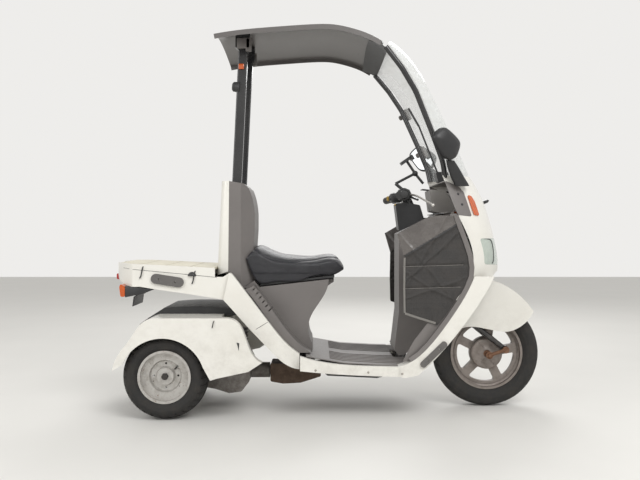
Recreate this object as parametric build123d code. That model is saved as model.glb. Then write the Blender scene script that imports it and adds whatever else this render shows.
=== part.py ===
from build123d import *
import os
from math import atan2, cos, radians, sin, tan

# Three-wheel delivery scooter. X points forward, Y to its left, Z up, in millimetres.
# The origin is on the floor at the middle of its length and width.

# Overall layout
FRONT_AXLE_X = 709.5
FRONT_AXLE_Z = 238.0
REAR_AXLE_X = -690.0
REAR_AXLE_Z = 180.0
TRACK_HALF = 235.0
TAIL_X = -947.5

# Tyres and rims
FRONT_TYRE_R = 238.0
FRONT_TYRE_W = 92.0
FRONT_RIM_R = 162.0
FRONT_RIM_W = 66.0
REAR_TYRE_R = 180.0
REAR_TYRE_W = 130.0
REAR_RIM_R = 111.0
REAR_RIM_W = 104.0
RIM_WALL = 4.0
TYRE_WALL = 9.0
BEAD_GAP = 0.3
BEAD_DEPTH = 6.0
WELL_DEPTH = 12.0
CAST_HALF = 13.0
RIM_LIP = 12.0
WINDOW_CORNER = 9.0
FRONT_HUB_R = 66.0
FRONT_HUB_HALF = 26.0
FIRST_SPOKE = -63.0
REAR_HUB_R = 27.0
REAR_HUB_BACK = 38.0
DISH_FACE = 30.0
DISH_STEP = 20.0
DISH_R = 62.0
DISH_HOLES = 4
DISH_HOLE_R = 4.5
NUT_R = 15.0
NUT_LENGTH = 16.0
DRUM_R = 62.0
DRUM_W = 40.0
AXLE_HOUSING_R = 34.0
FRONT_AXLE_R = 7.5
REAR_AXLE_R = 12.0
RUNNING_GAP = 0.05
SIDE_GAP = 0.5
SPOKES = 5
SPOKE_W = 38.0

# Rear unit and lean joint
CASE_HALF = 118.0
CYLINDER_X = -430.0
FIN_COUNT = 5
FIN_PITCH = 16.0
FIN_WALL = 4.0
LEAN_AXIS_Z = 158.0
LEAN_SHAFT_R = 20.0
LEAN_SHAFT_SEAT = 130.0
JOINT_CASE_REAR_X = -262.0
JOINT_CASE_HALF = 62.0
FENDER_OUT = 325.0
FENDER_IN = 158.0
FENDER_STEP_X = -455.0
FENDER_STEP_Y = 284.0
COVER_STAY_X = -583.0
COVER_TOP_Z = 463.0
TYRE_ROOM = 10.0

# Frame and floor tubes
TUBE_Y = 88.0
TUBE_Z = 205.0
FRAME_TUBE_R = 14.0
CROSS_TUBE_R = 11.0
STAY_R = 8.0
STAY_Y = 200.0
DECK_STAYS = (-545.0, -750.0)
SEAT_GAP = 0.3
DOWN_TUBE_R = 22.0
FRONT_CROSS_X = 322.0
REAR_CROSS_X = -82.0
FLOOR_CROSS_HALF = 250.0
RIB_COUNT = 6
RIB_FIRST_Y = 60.0
RIB_PITCH = 34.0
RIB_WIDE = 8.0
RAIL_OUT = 303.0
RAIL_FRONT_X = 283.0
UNDERCOVER_HALF = 240.0

# Cowl, leg shield and leg covers
ARM_OUT = 292.0
ARM_IN = 232.0
ARCH_HALF = 206.0
ARCH_TOP_Z = 612.0
TUNNEL_HALF = 96.0
WING_HALF = 268.0
DASH_HALF = 180.0
POD_HALF = 74.0
COVER_Z = 1004.0
LAMP_DEPTH = 24.0
PANEL_PROUD = 1.0
COVER_OUT = 284.0
COVER_WALL = 6.0

# Steering
CASTER = 24.5
STEER_AXIS_X = 670.0
STEM_R = 15.0
HEAD_TUBE_R = 27.0
HEAD_LOW_Z = 575.0
HEAD_HIGH_Z = 745.0
CROWN_Z = 545.0
LEG_Y = 66.0
LEG_R = 12.0
BAR_R = 11.0
BAR_HALF = 290.0
BAR_Z = 938.0
BAR_ELBOW = (330.0, 160.0, 948.0)
BAR_END_X = 290.0
GRIP_R = 17.0
GRIP_LENGTH = 118.0

LINK_X = 782.0
LINK_Z = 262.0
LINK_Y = 89.0
LINK_PIN_R = 7.0
AXLE_HALF = 102.0
SHROUD_HALF = 44.0
SHROUD_LOW_Z = 784.0
SHROUD_GAP = 8.0
COLUMN_R = 21.0
COLUMN_HOLE_R = 30.0
PHONE_Y = -30.0
FENDER_HALF = 86.0

# Body panels
WALL = 4.0
FLOOR_HALF = 280.0
FLOOR_Z = 232.0
FLOOR_FRONT_X = 360.0
FLOOR_REAR_X = -100.0
RAIL_DEPTH = 20.0
SKIRT_HALF = 250.0
SKIRT_DEPTH = 26.0
SEAM = 0.3

# Roof and windscreen
ROOF_HALF = 301.0
ROOF_CROWN = 42.0
ROOF_WALL = 4.0
ROOF_FLANGE = 20.0
SCREEN_WALL = 3.0
PILLAR_R = 11.5
POST_Y = 119.0
POST_LONG = 41.0
POST_WIDE = 28.0
POST_TOP_Z = 1600.0
POST_FOOT_Z = 1000.0

POST_TOP_X = -376.0
POST_LEAN = 0.048

# Seat, backrest and deck
BACK_FACE_HALF = 108.0
SEAT_REST_Z = 578.0
SEAT_TRAY = 10.0
SEAT_LIFT = 12.0
SEAT_BASE = 7.0
SEAT_BACK_GAP = 6.0
HINGE_X = 12.0
HINGE_Z = 566.0
HINGE_Y = 52.0
HINGE_PIN_R = 4.0
HINGE_EYE_R = 9.0
EAR_HALF = 5.0
LUG_WIDE = 5.0
STOP_X = -270.0
STOP_Y = 92.0
STOP_R = 9.0
VENT_COUNT = 6
VENT_FIRST = (-322.0, 542.0)
VENT_STEP = (13.6, -17.6)
VENT_TILT = 45.0
VENT_LONG = 16.0
VENT_WIDE = 5.0
BOARD_COUNT = 4
BOX_BOLT_Y = 110.0
BOX_BOLT_R = 4.5
BOARD_LONG = 100.0
BOARD_GAP = 5.0
BOARD_THICK = 9.0
BACK_HALF = 150.0
BACK_TOP_Z = 1006.0
SEAT_BOX_HALF = 138.0
DECK_HALF = 215.0
DECK_TOP_Z = 652.0
DECK_FRONT_X = -487.5
DECK_FRONT_Z = 632.0
DECK_RISE = 0.0485
BOARD_FRONT_X = -492.0
BOLT_BOARD = 1
LEDGE_WIDE = 18.0
PAD_SLOPE = 43.9
PAD_HOLE_R = 4.5
PAD_HOLE_STEP = 68.0


def slab(face, y_low, y_high):
    """Solid from an outline drawn in X and Z, between two distances from the centre plane."""
    plane = Plane((0, y_high, 0), x_dir=(1, 0, 0), z_dir=(0, -1, 0))
    return extrude(plane * face, y_high - y_low)


def front_slab(face, x_low, x_high):
    """Solid from an outline drawn in Y and Z, between two places along the length."""
    plane = Plane((x_low, 0, 0), x_dir=(0, 1, 0), z_dir=(1, 0, 0))
    return extrude(plane * face, x_high - x_low)


def plan_slab(face, z_low, z_high):
    """Solid from an outline drawn in X and Y, between two heights."""
    return extrude(Pos(0, 0, z_low) * face, z_high - z_low)


def corners(*points):
    return make_face(Polyline(*points, close=True))


def rounded(radius, *points):
    face = corners(*points)
    return fillet(face.vertices(), radius)


def bar(start, end, radius):
    """Round bar between two points."""
    a, b = Vector(*start), Vector(*end)
    return extrude(Plane(origin=a, z_dir=b - a) * Circle(radius), (b - a).length)


def bent_tube(radius, bend, *points):
    path = FilletPolyline(*points, radius=bend)
    section = Plane(origin=path @ 0, z_dir=path % 0) * Circle(radius)
    return sweep(section, path=path)


def across(shape):
    """The same shape on the other side of the centre plane."""
    return mirror(shape, Plane.XZ)


def pair(shape):
    return Compound([shape.solids()[0], across(shape).solids()[0]])


def wheel_at(shape, x, y, z):
    """Puts a shape made about its own Z axis on a wheel's axle, which runs along Y."""
    return Pos(x, y, z) * Rot(90, 0, 0) * shape


def export(shape, name):
    export_step(shape, f"parts/{name}.step")


# Wheels, made about Z with their middle at the origin

def ring(outer, inner, z_low, z_high):
    return Pos(0, 0, z_low) * extrude(Circle(outer) - Circle(inner), z_high - z_low)


def tyre(outer, width, rim_r, rim_w):
    half = width / 2
    bead_half = rim_w / 2 - RIM_WALL - BEAD_GAP
    bead_r = rim_r - BEAD_DEPTH
    shoulder_r = outer - width * 0.15
    profile = make_face([
        Line((bead_r, -bead_half), (bead_r, -bead_half + TYRE_WALL)),
        ThreePointArc((bead_r, -bead_half + TYRE_WALL), (outer - TYRE_WALL * 1.4, 0),
                      (bead_r, bead_half - TYRE_WALL)),
        Line((bead_r, bead_half - TYRE_WALL), (bead_r, bead_half)),
        Line((bead_r, bead_half), (rim_r + BEAD_GAP, bead_half)),
        ThreePointArc((rim_r + BEAD_GAP, bead_half), ((rim_r + shoulder_r) / 2 + 4, half),
                      (shoulder_r, half * 0.86)),
        ThreePointArc((shoulder_r, half * 0.86), (outer, 0), (shoulder_r, -half * 0.86)),
        ThreePointArc((shoulder_r, -half * 0.86), ((rim_r + shoulder_r) / 2 + 4, -half),
                      (rim_r + BEAD_GAP, -bead_half)),
        Line((rim_r + BEAD_GAP, -bead_half), (bead_r, -bead_half)),
    ])
    return revolve(Plane.XZ * profile, Axis.Z)


def rim_barrel(radius, width):
    """Rim barrel: a well with a flange at each edge, inside the tyre's beads."""
    half = width / 2
    seat = radius - BEAD_DEPTH - BEAD_GAP
    well = seat - WELL_DEPTH
    slope_z = half * 0.45
    well_z = half * 0.25
    profile = make_face(Polyline(
        (seat - RIM_WALL, -half), (radius, -half), (radius, -half + RIM_WALL),
        (seat, -half + RIM_WALL), (seat, -slope_z), (well, -well_z),
        (well, well_z), (seat, slope_z), (seat, half - RIM_WALL),
        (radius, half - RIM_WALL), (radius, half), (seat - RIM_WALL, half),
        (seat - RIM_WALL, slope_z + 2), (well - RIM_WALL, well_z),
        (well - RIM_WALL, -well_z), (seat - RIM_WALL, -slope_z - 2), close=True))
    return revolve(Plane.XZ * profile, Axis.Z)


def front_rim():
    """Cast wheel with five broad spokes between a hub and the rim barrel."""
    inner = FRONT_RIM_R - BEAD_DEPTH - BEAD_GAP - WELL_DEPTH - RIM_WALL / 2
    disc = ring(inner, FRONT_HUB_R - 2, -CAST_HALF, CAST_HALF)
    windows = ring(inner - RIM_LIP, FRONT_HUB_R + 6, -CAST_HALF, CAST_HALF)
    for k in range(SPOKES):
        strip = Pos(inner / 2, 0, 0) * Box(inner, SPOKE_W, 2 * CAST_HALF + 2)
        windows -= Rot(0, 0, FIRST_SPOKE + k * 360 / SPOKES) * strip
    windows = fillet(windows.edges().filter_by(Axis.Z), WINDOW_CORNER)
    hub = ring(FRONT_HUB_R, FRONT_AXLE_R + RUNNING_GAP, -FRONT_HUB_HALF, FRONT_HUB_HALF)
    return rim_barrel(FRONT_RIM_R, FRONT_RIM_W) + (disc - windows) + hub


def rear_rim():
    """Pressed steel wheel with a stepped dish; its outer side is towards +Z."""
    well = REAR_RIM_R - BEAD_DEPTH - BEAD_GAP - RIM_WALL / 2
    dish = make_face(Polyline(
        (REAR_HUB_R - 2, DISH_FACE), (REAR_HUB_R + 8, DISH_FACE), (REAR_HUB_R + 14, DISH_FACE - DISH_STEP),
        (DISH_R, DISH_FACE - DISH_STEP), (DISH_R + 6, DISH_FACE - 4), (well, DISH_FACE - 4),
        (well, DISH_FACE - 4 - RIM_WALL), (DISH_R + 8, DISH_FACE - 4 - RIM_WALL),
        (DISH_R + 2, DISH_FACE - DISH_STEP - RIM_WALL), (REAR_HUB_R - 2, DISH_FACE - DISH_STEP - RIM_WALL),
        close=True))
    rim = rim_barrel(REAR_RIM_R, REAR_RIM_W) + revolve(Plane.XZ * dish, Axis.Z)
    holes = PolarLocations((REAR_HUB_R + 14 + DISH_R) / 2, DISH_HOLES)
    rim -= holes * Cylinder(DISH_HOLE_R, REAR_RIM_W)
    rim += ring(REAR_HUB_R, REAR_AXLE_R + RUNNING_GAP, -REAR_HUB_BACK, DISH_FACE)
    return rim


export(wheel_at(tyre(FRONT_TYRE_R, FRONT_TYRE_W, FRONT_RIM_R, FRONT_RIM_W),
                FRONT_AXLE_X, 0, FRONT_AXLE_Z), "front_tyre")
export(wheel_at(front_rim(), FRONT_AXLE_X, 0, FRONT_AXLE_Z), "front_rim")
REAR_TYRE = tyre(REAR_TYRE_R, REAR_TYRE_W, REAR_RIM_R, REAR_RIM_W)
RIGHT_TYRE = wheel_at(REAR_TYRE, REAR_AXLE_X, -TRACK_HALF, REAR_AXLE_Z)
RIGHT_RIM = wheel_at(rear_rim(), REAR_AXLE_X, -TRACK_HALF, REAR_AXLE_Z)
export(RIGHT_TYRE, "rear_tyre_right")
export(across(RIGHT_TYRE), "rear_tyre_left")
export(RIGHT_RIM, "rear_rim_right")
export(across(RIGHT_RIM), "rear_rim_left")


# Rear power unit

def rear_axle():
    """Axle housing with a brake drum, a spindle and a nut at each end."""
    inner_end = TRACK_HALF - REAR_HUB_BACK - SIDE_GAP
    shape = Cylinder(AXLE_HOUSING_R, 2 * inner_end)
    shape += Cylinder(REAR_AXLE_R, 2 * (TRACK_HALF + DISH_FACE + NUT_LENGTH))
    for side in (-1, 1):
        nut = extrude(RegularPolygon(NUT_R, 6), NUT_LENGTH / 2)
        shape += Pos(0, 0, side * (TRACK_HALF + DISH_FACE + SIDE_GAP + NUT_LENGTH / 4) - NUT_LENGTH / 4) * nut
        shape += Pos(0, 0, side * (inner_end - DRUM_W / 2)) * Cylinder(DRUM_R, DRUM_W)
    return wheel_at(shape, REAR_AXLE_X, 0, REAR_AXLE_Z)


def engine_case():
    """Swing unit around the axle housing, with a finned cylinder and the lean shaft ahead."""
    case = rounded(16, (-745, 150), (-745, 240), (-690, 268), (-560, 250), (-430, 262), (-370, 250),
                   (-345, 200), (-350, 130), (-385, 84), (-440, 77), (-500, 96), (-640, 120))
    shape = slab(case, -CASE_HALF, CASE_HALF)
    shape -= Pos(REAR_AXLE_X, 0, REAR_AXLE_Z) * Rot(90, 0, 0) * Cylinder(AXLE_HOUSING_R, 3 * CASE_HALF)
    shape += Pos(CYLINDER_X, 0, 290) * Box(92, 84, 110)
    for k in range(FIN_COUNT):
        shape += Pos(CYLINDER_X, 0, 275 + k * FIN_PITCH) * Box(116, 120, FIN_WALL)
    for side in (-1, 1):
        shape += bar((COVER_STAY_X, side * 70, 240),
                     (COVER_STAY_X, side * 70, COVER_TOP_Z - WALL - SEAT_GAP), STAY_R)
    shaft = Plane((-355, 0, LEAN_AXIS_Z), z_dir=(1, 0, 0))
    shape += extrude(shaft * Circle(LEAN_SHAFT_R + 14), 355 + JOINT_CASE_REAR_X - SIDE_GAP - 5)
    shape += extrude(shaft * Circle(LEAN_SHAFT_R), 355 + JOINT_CASE_REAR_X + LEAN_SHAFT_SEAT)
    return shape


def joint_case():
    """Low case under the floor whose bore carries the lean shaft."""
    outline = rounded(8, (JOINT_CASE_REAR_X, 117), (-206, 107), (-127, 111), (-37, 139), (-37, 185),
                      (JOINT_CASE_REAR_X, 198))
    shape = slab(outline, -JOINT_CASE_HALF, JOINT_CASE_HALF)
    shape += Pos(REAR_CROSS_X, 0, 190) * Box(36, JOINT_CASE_HALF, 28)
    shape -= bar((REAR_CROSS_X, -100, TUBE_Z), (REAR_CROSS_X, 100, TUBE_Z), CROSS_TUBE_R + SEAM)
    bore = Plane((JOINT_CASE_REAR_X - 1, 0, LEAN_AXIS_Z), z_dir=(1, 0, 0))
    return shape - extrude(bore * Circle(LEAN_SHAFT_R + RUNNING_GAP), LEAN_SHAFT_SEAT + 1 + SIDE_GAP)


def fender():
    """Right rear fender: outer skin with a wheel arch, crowned top and front panel."""
    side = make_face([
        Spline((-896, 214), (-869, 283), (-824, 343), (-782, 403), (-734, 430)),
        Line((-734, 430), (-433, 430)),
        Spline((-433, 430), (-385, 415), (-342, 331), (-280, 247)),
        Polyline((-280, 247), (-337, 210), (-464, 183), (-493, 174), (-523, 228)),
        ThreePointArc((-523, 228), (-690, 347), (-854, 240)),
        Line((-854, 240), (-896, 214)),
    ])
    outer = slab(side, -FENDER_OUT, -FENDER_IN)
    inner = slab(side, -FENDER_OUT + WALL, -FENDER_IN + 1)
    skin = outer - Pos(0, 0, -WALL) * inner
    body_room = Pos(FENDER_STEP_X + 110, -FENDER_STEP_Y / 2, 330) * Box(220, FENDER_STEP_Y, 440)
    guard = Pos(FENDER_STEP_X - WALL / 2, -FENDER_STEP_Y / 2, 330) * Box(WALL, FENDER_STEP_Y, 440)
    panel = Pos(FENDER_STEP_X + 110 - WALL / 2, -FENDER_STEP_Y - WALL / 2, 330) * Box(220 + WALL, WALL, 440)
    skin = skin - body_room + (outer & guard) + (outer & panel)
    tyre_room = Pos(REAR_AXLE_X, -FENDER_OUT + WALL, REAR_AXLE_Z) * Rot(90, 0, 0) * Cylinder(
        REAR_TYRE_R + TYRE_ROOM, 200, align=(Align.CENTER, Align.CENTER, Align.MAX))
    return skin - tyre_room


def engine_cover():
    outline = make_face([
        Polyline((-825, 383), (-780, 415), (-716, 456)),
        Spline((-716, 456), (COVER_STAY_X, COVER_TOP_Z), (-404, 450)),
        Polyline((-404, 450), (-395, 425), (-780, 395), (-825, 383)),
    ])
    outer = slab(outline, -FENDER_IN + SEAM, FENDER_IN - SEAM)
    return outer - Pos(0, 0, -WALL) * slab(outline, -FENDER_IN + SEAM + WALL, FENDER_IN - SEAM - WALL)


RIGHT_FENDER = fender()
export(rear_axle(), "rear_axle")
export(engine_case(), "engine_case")
export(RIGHT_FENDER, "rear_fender_right")
export(across(RIGHT_FENDER), "rear_fender_left")
export(engine_cover(), "engine_cover")


# Frame and floor

def axis_x(z):
    """Place of the steering axis along the length at a height."""
    return STEER_AXIS_X - (z - FRONT_AXLE_Z) * tan(radians(CASTER))


def steer_point(z):
    return (axis_x(z), 0, z)


def floor_z(x):
    """Height of the floorboard's top along the vehicle."""
    if x < 60:
        return 268 - (x - FLOOR_REAR_X) * 28 / (60 - FLOOR_REAR_X)
    return FLOOR_Z - (x - 209) * 4 / (FLOOR_FRONT_X - 209)


def board_z(x):
    """Height of the deck boards' top, which rises a little towards the tail."""
    return DECK_FRONT_Z + (DECK_FRONT_X - x) * DECK_RISE


def frame():
    """Underbone frame: head tube, down tube, two floor tubes that rise to carry the deck."""
    shape = bar(steer_point(HEAD_LOW_Z), steer_point(HEAD_HIGH_Z), HEAD_TUBE_R)
    shape += bent_tube(DOWN_TUBE_R, 90, (axis_x(690) - 8, 0, 690), (388, 0, 420), (FRONT_CROSS_X, 0, TUBE_Z))
    for side in (-1, 1):
        y = side * TUBE_Y
        shape += bent_tube(FRAME_TUBE_R, 70, (FRONT_CROSS_X, y, TUBE_Z), (-130, y, TUBE_Z), (-342, y, 470),
                           (-432, y, 575), (-860, y, 590))
    for x in (FRONT_CROSS_X, REAR_CROSS_X):
        shape += bar((x, -FLOOR_CROSS_HALF, TUBE_Z), (x, FLOOR_CROSS_HALF, TUBE_Z), CROSS_TUBE_R)
    shape += bar((-600, -TUBE_Y, 581), (-600, TUBE_Y, 581), CROSS_TUBE_R)
    for side in (-1, 1):
        for x in (FRONT_CROSS_X, REAR_CROSS_X):
            top = floor_z(x + STAY_R) - WALL - SEAT_GAP
            shape += bar((x, side * STAY_Y, TUBE_Z), (x, side * STAY_Y, top), STAY_R)
        for x in DECK_STAYS:
            top = board_z(x) - BOARD_THICK - SEAT_GAP - STAY_R * DECK_RISE
            shape += bar((x, side * TUBE_Y, 588), (x, side * TUBE_Y, top), STAY_R)
    bore = bar(steer_point(HEAD_LOW_Z - 20), steer_point(HEAD_HIGH_Z + 20), STEM_R + RUNNING_GAP)
    return shape - bore


def floorboard():
    """Flat floor with lengthwise ribs and a lip at the front."""
    outline = make_face([
        Polyline((FLOOR_REAR_X, 268), (60, 240), (209, FLOOR_Z), (FLOOR_FRONT_X, FLOOR_Z - 4)),
        Line((FLOOR_FRONT_X, FLOOR_Z - 4), (FLOOR_FRONT_X, FLOOR_Z - 8)),
        Polyline((FLOOR_FRONT_X, FLOOR_Z - 8), (209, FLOOR_Z - 4), (60, 236), (FLOOR_REAR_X, 264),
                 (FLOOR_REAR_X, 268)),
    ])
    shape = slab(outline, -FLOOR_HALF, FLOOR_HALF)
    notch = Pos(RAIL_FRONT_X + 100, 0, FLOOR_Z) * Box(200, 2 * (TUNNEL_HALF + SEAM), 60)
    edge = Pos(RAIL_FRONT_X + 100, FLOOR_HALF, FLOOR_Z) * Box(200, 2 * (FLOOR_HALF - ARM_IN + SEAM), 60)
    shape -= notch + edge + across(edge)
    rib = Polyline((0, 250), (60, 238), (209, FLOOR_Z - 2), (FLOOR_FRONT_X - 30, FLOOR_Z - 6),
                   (FLOOR_FRONT_X - 30, FLOOR_Z), (209, FLOOR_Z + 3), (60, 243), (0, 255), close=True)
    for k in range(RIB_COUNT):
        y = RIB_FIRST_Y + k * RIB_PITCH
        for side in (-1, 1):
            shape += slab(make_face(rib), side * y - RIB_WIDE / 2, side * y + RIB_WIDE / 2)
    lip = slab(corners((FLOOR_REAR_X, 266), (FLOOR_REAR_X + WALL, 266), (FLOOR_REAR_X + WALL, 272 - SEAT_GAP),
                       (FLOOR_REAR_X, 272 - SEAT_GAP)), -SEAT_BOX_HALF, SEAT_BOX_HALF)
    return shape - notch - edge - across(edge) + lip


def floor_rail():
    """Right edge of the floor: a white channel open towards the middle."""
    def outline(inset):
        return make_face([
            Spline((-124, 270 - inset), (41, 236 - inset), (165, 229 - inset), (RAIL_FRONT_X, 226 - inset)),
            Line((RAIL_FRONT_X, 226 - inset), (RAIL_FRONT_X, 185 + inset)),
            Spline((RAIL_FRONT_X, 185 + inset), (165, 189 + inset), (41, 195 + inset), (-124, 209 + inset)),
            Line((-124, 209 + inset), (-124, 270 - inset)),
        ])
    outer = slab(outline(0), -RAIL_OUT, -RAIL_OUT + RAIL_DEPTH)
    return outer - slab(outline(WALL), -RAIL_OUT + WALL, -RAIL_OUT + RAIL_DEPTH + 1)


def side_skirt():
    """Right white band from the floor up to the deck, open towards the middle."""
    outline = make_face([
        Polyline((-448, 498), (-424, 612), (-413, 609)),
        Spline((-413, 609), (-360, 540), (-258, 405), (-165, 299), (-128, 272)),
        Polyline((-128, 272), (-128, 207)),
        Spline((-128, 207), (-164, 216), (-256, 290), (-349, 388), (-448, 498)),
    ])
    outer = slab(outline, -SKIRT_HALF, -SKIRT_HALF + SKIRT_DEPTH)
    room = make_face([
        Polyline((-440, 506), (-422, 596), (-418, 598)),
        Spline((-418, 598), (-366, 534), (-262, 402), (-168, 294), (-132, 268)),
        Polyline((-132, 268), (-132, 212)),
        Spline((-132, 212), (-163, 221), (-253, 294), (-346, 392), (-440, 506)),
    ])
    return outer - slab(room, -SKIRT_HALF + WALL, -SKIRT_HALF + SKIRT_DEPTH + 1)


def undercover():
    top = TUBE_Z - FRAME_TUBE_R - SEAT_GAP
    outline = rounded(3, (-25, top), (-10, 178), (200, 168), (245, 180), (245, top))
    return slab(outline, -UNDERCOVER_HALF, UNDERCOVER_HALF)


export(frame(), "frame")
export(joint_case(), "joint_case")
export(floorboard(), "floorboard")
export(pair(floor_rail()), "floor_rails")
export(pair(side_skirt()), "side_skirts")
export(undercover(), "undercover")


# Front cowl and leg shield

def nose_section(z, front_x, corner_x, corner_y, rear_x, rear_y, inset, rear_room):
    front_x, corner_x = front_x - inset, corner_x - inset * 0.7
    corner_y, rear_y = corner_y - inset * 0.7, rear_y - inset
    curve = Spline((rear_x, -rear_y), (corner_x, -corner_y), (front_x, 0), (corner_x, corner_y),
                   (rear_x, rear_y))
    back = Polyline((rear_x, rear_y), (rear_x - rear_room, rear_y), (rear_x - rear_room, -rear_y),
                    (rear_x, -rear_y))
    return Pos(0, 0, z) * make_face([curve, back])


def nose(inset=0.0, rear_room=1.0, top_room=0.0, low_room=0.0):
    """Nose of the cowl as a solid through plan sections; inset makes a smaller one."""
    sections = [
        nose_section(500 - low_room, 700, 640, 200, 520, 280, inset, rear_room),
        nose_section(560, 742, 672, 195, 570, 280, inset, rear_room),
        nose_section(650, 759, 698, 188, 600, 275, inset, rear_room),
        nose_section(754, 742, 684, 184, 585, 262, inset, rear_room),
        nose_section(859, 715, 655, 178, 540, 248, inset, rear_room),
        nose_section(954, 678, 622, 168, 505, 228, inset, rear_room),
        nose_section(1025 + top_room, 635, 590, 158, 480, 214, inset, rear_room),
    ]
    return loft(sections)


def cowl_arm():
    """Right lower arm of the cowl, from the nose down to the floor rail."""
    outline = make_face([
        Spline((683, 600), (638, 517), (573, 421), (485, 309), (366, 189)),
        Polyline((366, 189), (310, 178), (RAIL_FRONT_X + SEAM, 185), (RAIL_FRONT_X + SEAM, 226)),
        Spline((RAIL_FRONT_X + SEAM, 226), (333, 243), (417, 314), (500, 422), (575, 543), (600, 600)),
        Line((600, 600), (683, 600)),
    ])
    outer = slab(outline, -ARM_OUT, -ARM_IN)
    room = make_face([
        Spline((678, 604), (634, 522), (569, 425), (481, 313), (364, 194)),
        Polyline((364, 194), (310, 183), (RAIL_FRONT_X + 5, 189), (RAIL_FRONT_X + 5, 221)),
        Spline((RAIL_FRONT_X + 5, 221), (335, 238), (420, 310), (504, 420), (579, 541), (605, 604)),
        Line((605, 604), (678, 604)),
    ])
    return outer - slab(room, -ARM_OUT + WALL, -ARM_IN + 1)


def wheel_arch():
    """Opening of the cowl that the front fender passes through."""
    return front_slab(rounded(100, (-ARCH_HALF, 100), (-ARCH_HALF, ARCH_TOP_Z), (ARCH_HALF, ARCH_TOP_Z),
                              (ARCH_HALF, 100)), 300, 900)


def lamp_window(grow=0.0):
    """Room of the right headlamp, as a prism seen from the front."""
    return front_slab(rounded(10, (-238 - grow, 648 - grow), (-232 - grow, 757 + grow),
                              (-96 + grow, 757 + grow), (-104 + grow, 640 - grow)), 560, 800)


def indicator_window(grow=0.0):
    return slab(rounded(6, (586 - grow, 945 + grow), (608, 937 + grow), (622 + grow, 915),
                           (641 + grow, 853 - grow), (612 - grow, 858 - grow)), -320, -120)


def side_panel_window(grow=0.0):
    return slab(rounded(6, (488 - grow, 1003 + grow), (548, 980 + grow), (572 + grow, 953),
                           (603 + grow, 850 - grow), (540, 856 - grow), (488 - grow, 960)), -320, -120)


def front_cowl():
    shell = nose() - nose(WALL, 40, 10, 10)
    shell -= wheel_arch()
    arm = cowl_arm() - nose(WALL, 40, 10, 10)
    shell = shell + arm + across(arm)
    for window in (lamp_window(SEAM), indicator_window(SEAM), side_panel_window(SEAM)):
        shell = shell - window - across(window)
    return shell


def leg_shield():
    """Rider's side of the leg shield: a middle tunnel between two wings, open to the front."""
    def block(inset, room):
        tunnel = slab(make_face([
            Polyline((318 + inset, 226 - room), (288 + inset, 262), (308 + inset, 433),
                     (308 + inset, SHROUD_LOW_Z - SHROUD_GAP - inset),
                     (456 + inset, SHROUD_LOW_Z - SHROUD_GAP + 148 * tan(radians(CASTER)) - inset),
                     (472 + inset, 862 - inset), (560 + room, 862 - inset), (560 + room, 226 - room),
                     (318 + inset, 226 - room))]), -TUNNEL_HALF + inset, TUNNEL_HALF - inset)
        wing = slab(make_face([
            Polyline((338 + inset, 226 - room), (350 + inset, 243)),
            Spline((350 + inset, 243), (440 + inset, 330), (490 + inset, 430), (520 + inset, 560),
                   (528 + inset, 700), (505 + inset, 862 - inset)),
            Polyline((505 + inset, 862 - inset), (560 + room, 862 - inset), (560 + room, 226 - room),
                     (338 + inset, 226 - room))]), -WING_HALF + inset, WING_HALF - inset)
        return tunnel + wing
    edge = make_face([
        Polyline((200, 226), (333, 243)),
        Spline((333, 243), (414, 314), (497, 422), (571, 543), (594, 593), (598, 635), (578, 730),
               (535, 845), (529, 866)),
        Polyline((529, 866), (200, 900), (200, 226)),
    ])
    shell = block(0, 0) - block(WALL, 60)
    column_hole = bar(steer_point(700), steer_point(900), COLUMN_HOLE_R)
    return (shell & slab(edge, -WING_HALF - 1, WING_HALF + 1)) - column_hole


def dash_panel():
    """Shelf behind the windscreen with an instrument pod in the middle."""
    foot = 862 + SEAT_GAP
    shelf = slab(corners((475, foot + WALL), (560, 880), (600, 905), (600, 901), (561, 876), (475, foot)),
                 -DASH_HALF, DASH_HALF)
    pod = slab(rounded(6, (460, 876), (446, 973), (520, 966), (556, 905), (560, 878), (500, 868)),
               -POD_HALF, POD_HALF)
    wall = Pos(558, 0, 940) * Box(WALL, 2 * POD_HALF + 60, 125)
    cover = nose(WALL + SEAM, 1, 10, 10) & Pos(590, 0, COVER_Z - WALL / 2) * Box(230, 600, WALL)
    return shelf + pod + wall + cover


def headlamp():
    lens = (nose() - nose(LAMP_DEPTH, 200, 20, 20)) & lamp_window()
    return lens


def indicator():
    lens = (nose(-5) - nose(LAMP_DEPTH * 0.6, 200, 20, 20)) & indicator_window()
    return lens.solids().sort_by(Axis.Y)[0]


def cowl_side_panel():
    panel = (nose(-PANEL_PROUD) - nose(WALL, 200, 20, 20)) & side_panel_window()
    panel = panel - indicator_window(SEAM)
    return panel.solids().sort_by(SortBy.VOLUME)[-1]


export(front_cowl(), "front_cowl")
export(leg_shield(), "leg_shield")
export(dash_panel(), "dash_panel")
export(pair(headlamp()), "headlamps")
export(pair(cowl_side_panel()), "cowl_side_panels")


def rear_indicator():
    arm = slab(rounded(5, (-751, 539), (-811, 545), (-872, 552), (-872, 508), (-800, 522)), -215, -168)
    lens = slab(rounded(5, (-872, 553), (-890, 564), (-895, 550), (-890, 510), (-872, 508)), -218, -165)
    return (arm + lens) - deck_solid()



def leg_cover():
    """Right leg cover: a fabric apron beside the leg space."""
    outline = make_face([
        Polyline((279, 778), (403, 845), (516, 860), (522, 845)),
        Spline((522, 845), (563, 730), (580, 640), (572, 590), (507, 484), (446, 400)),
        Polyline((446, 400), (308, 440), (308, 680), (279, 778)),
    ])
    return slab(outline, -COVER_OUT, -COVER_OUT + COVER_WALL)


export(leg_cover(), "leg_cover_right")
export(across(leg_cover()), "leg_cover_left")


# Windscreen, pillars and roof

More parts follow.
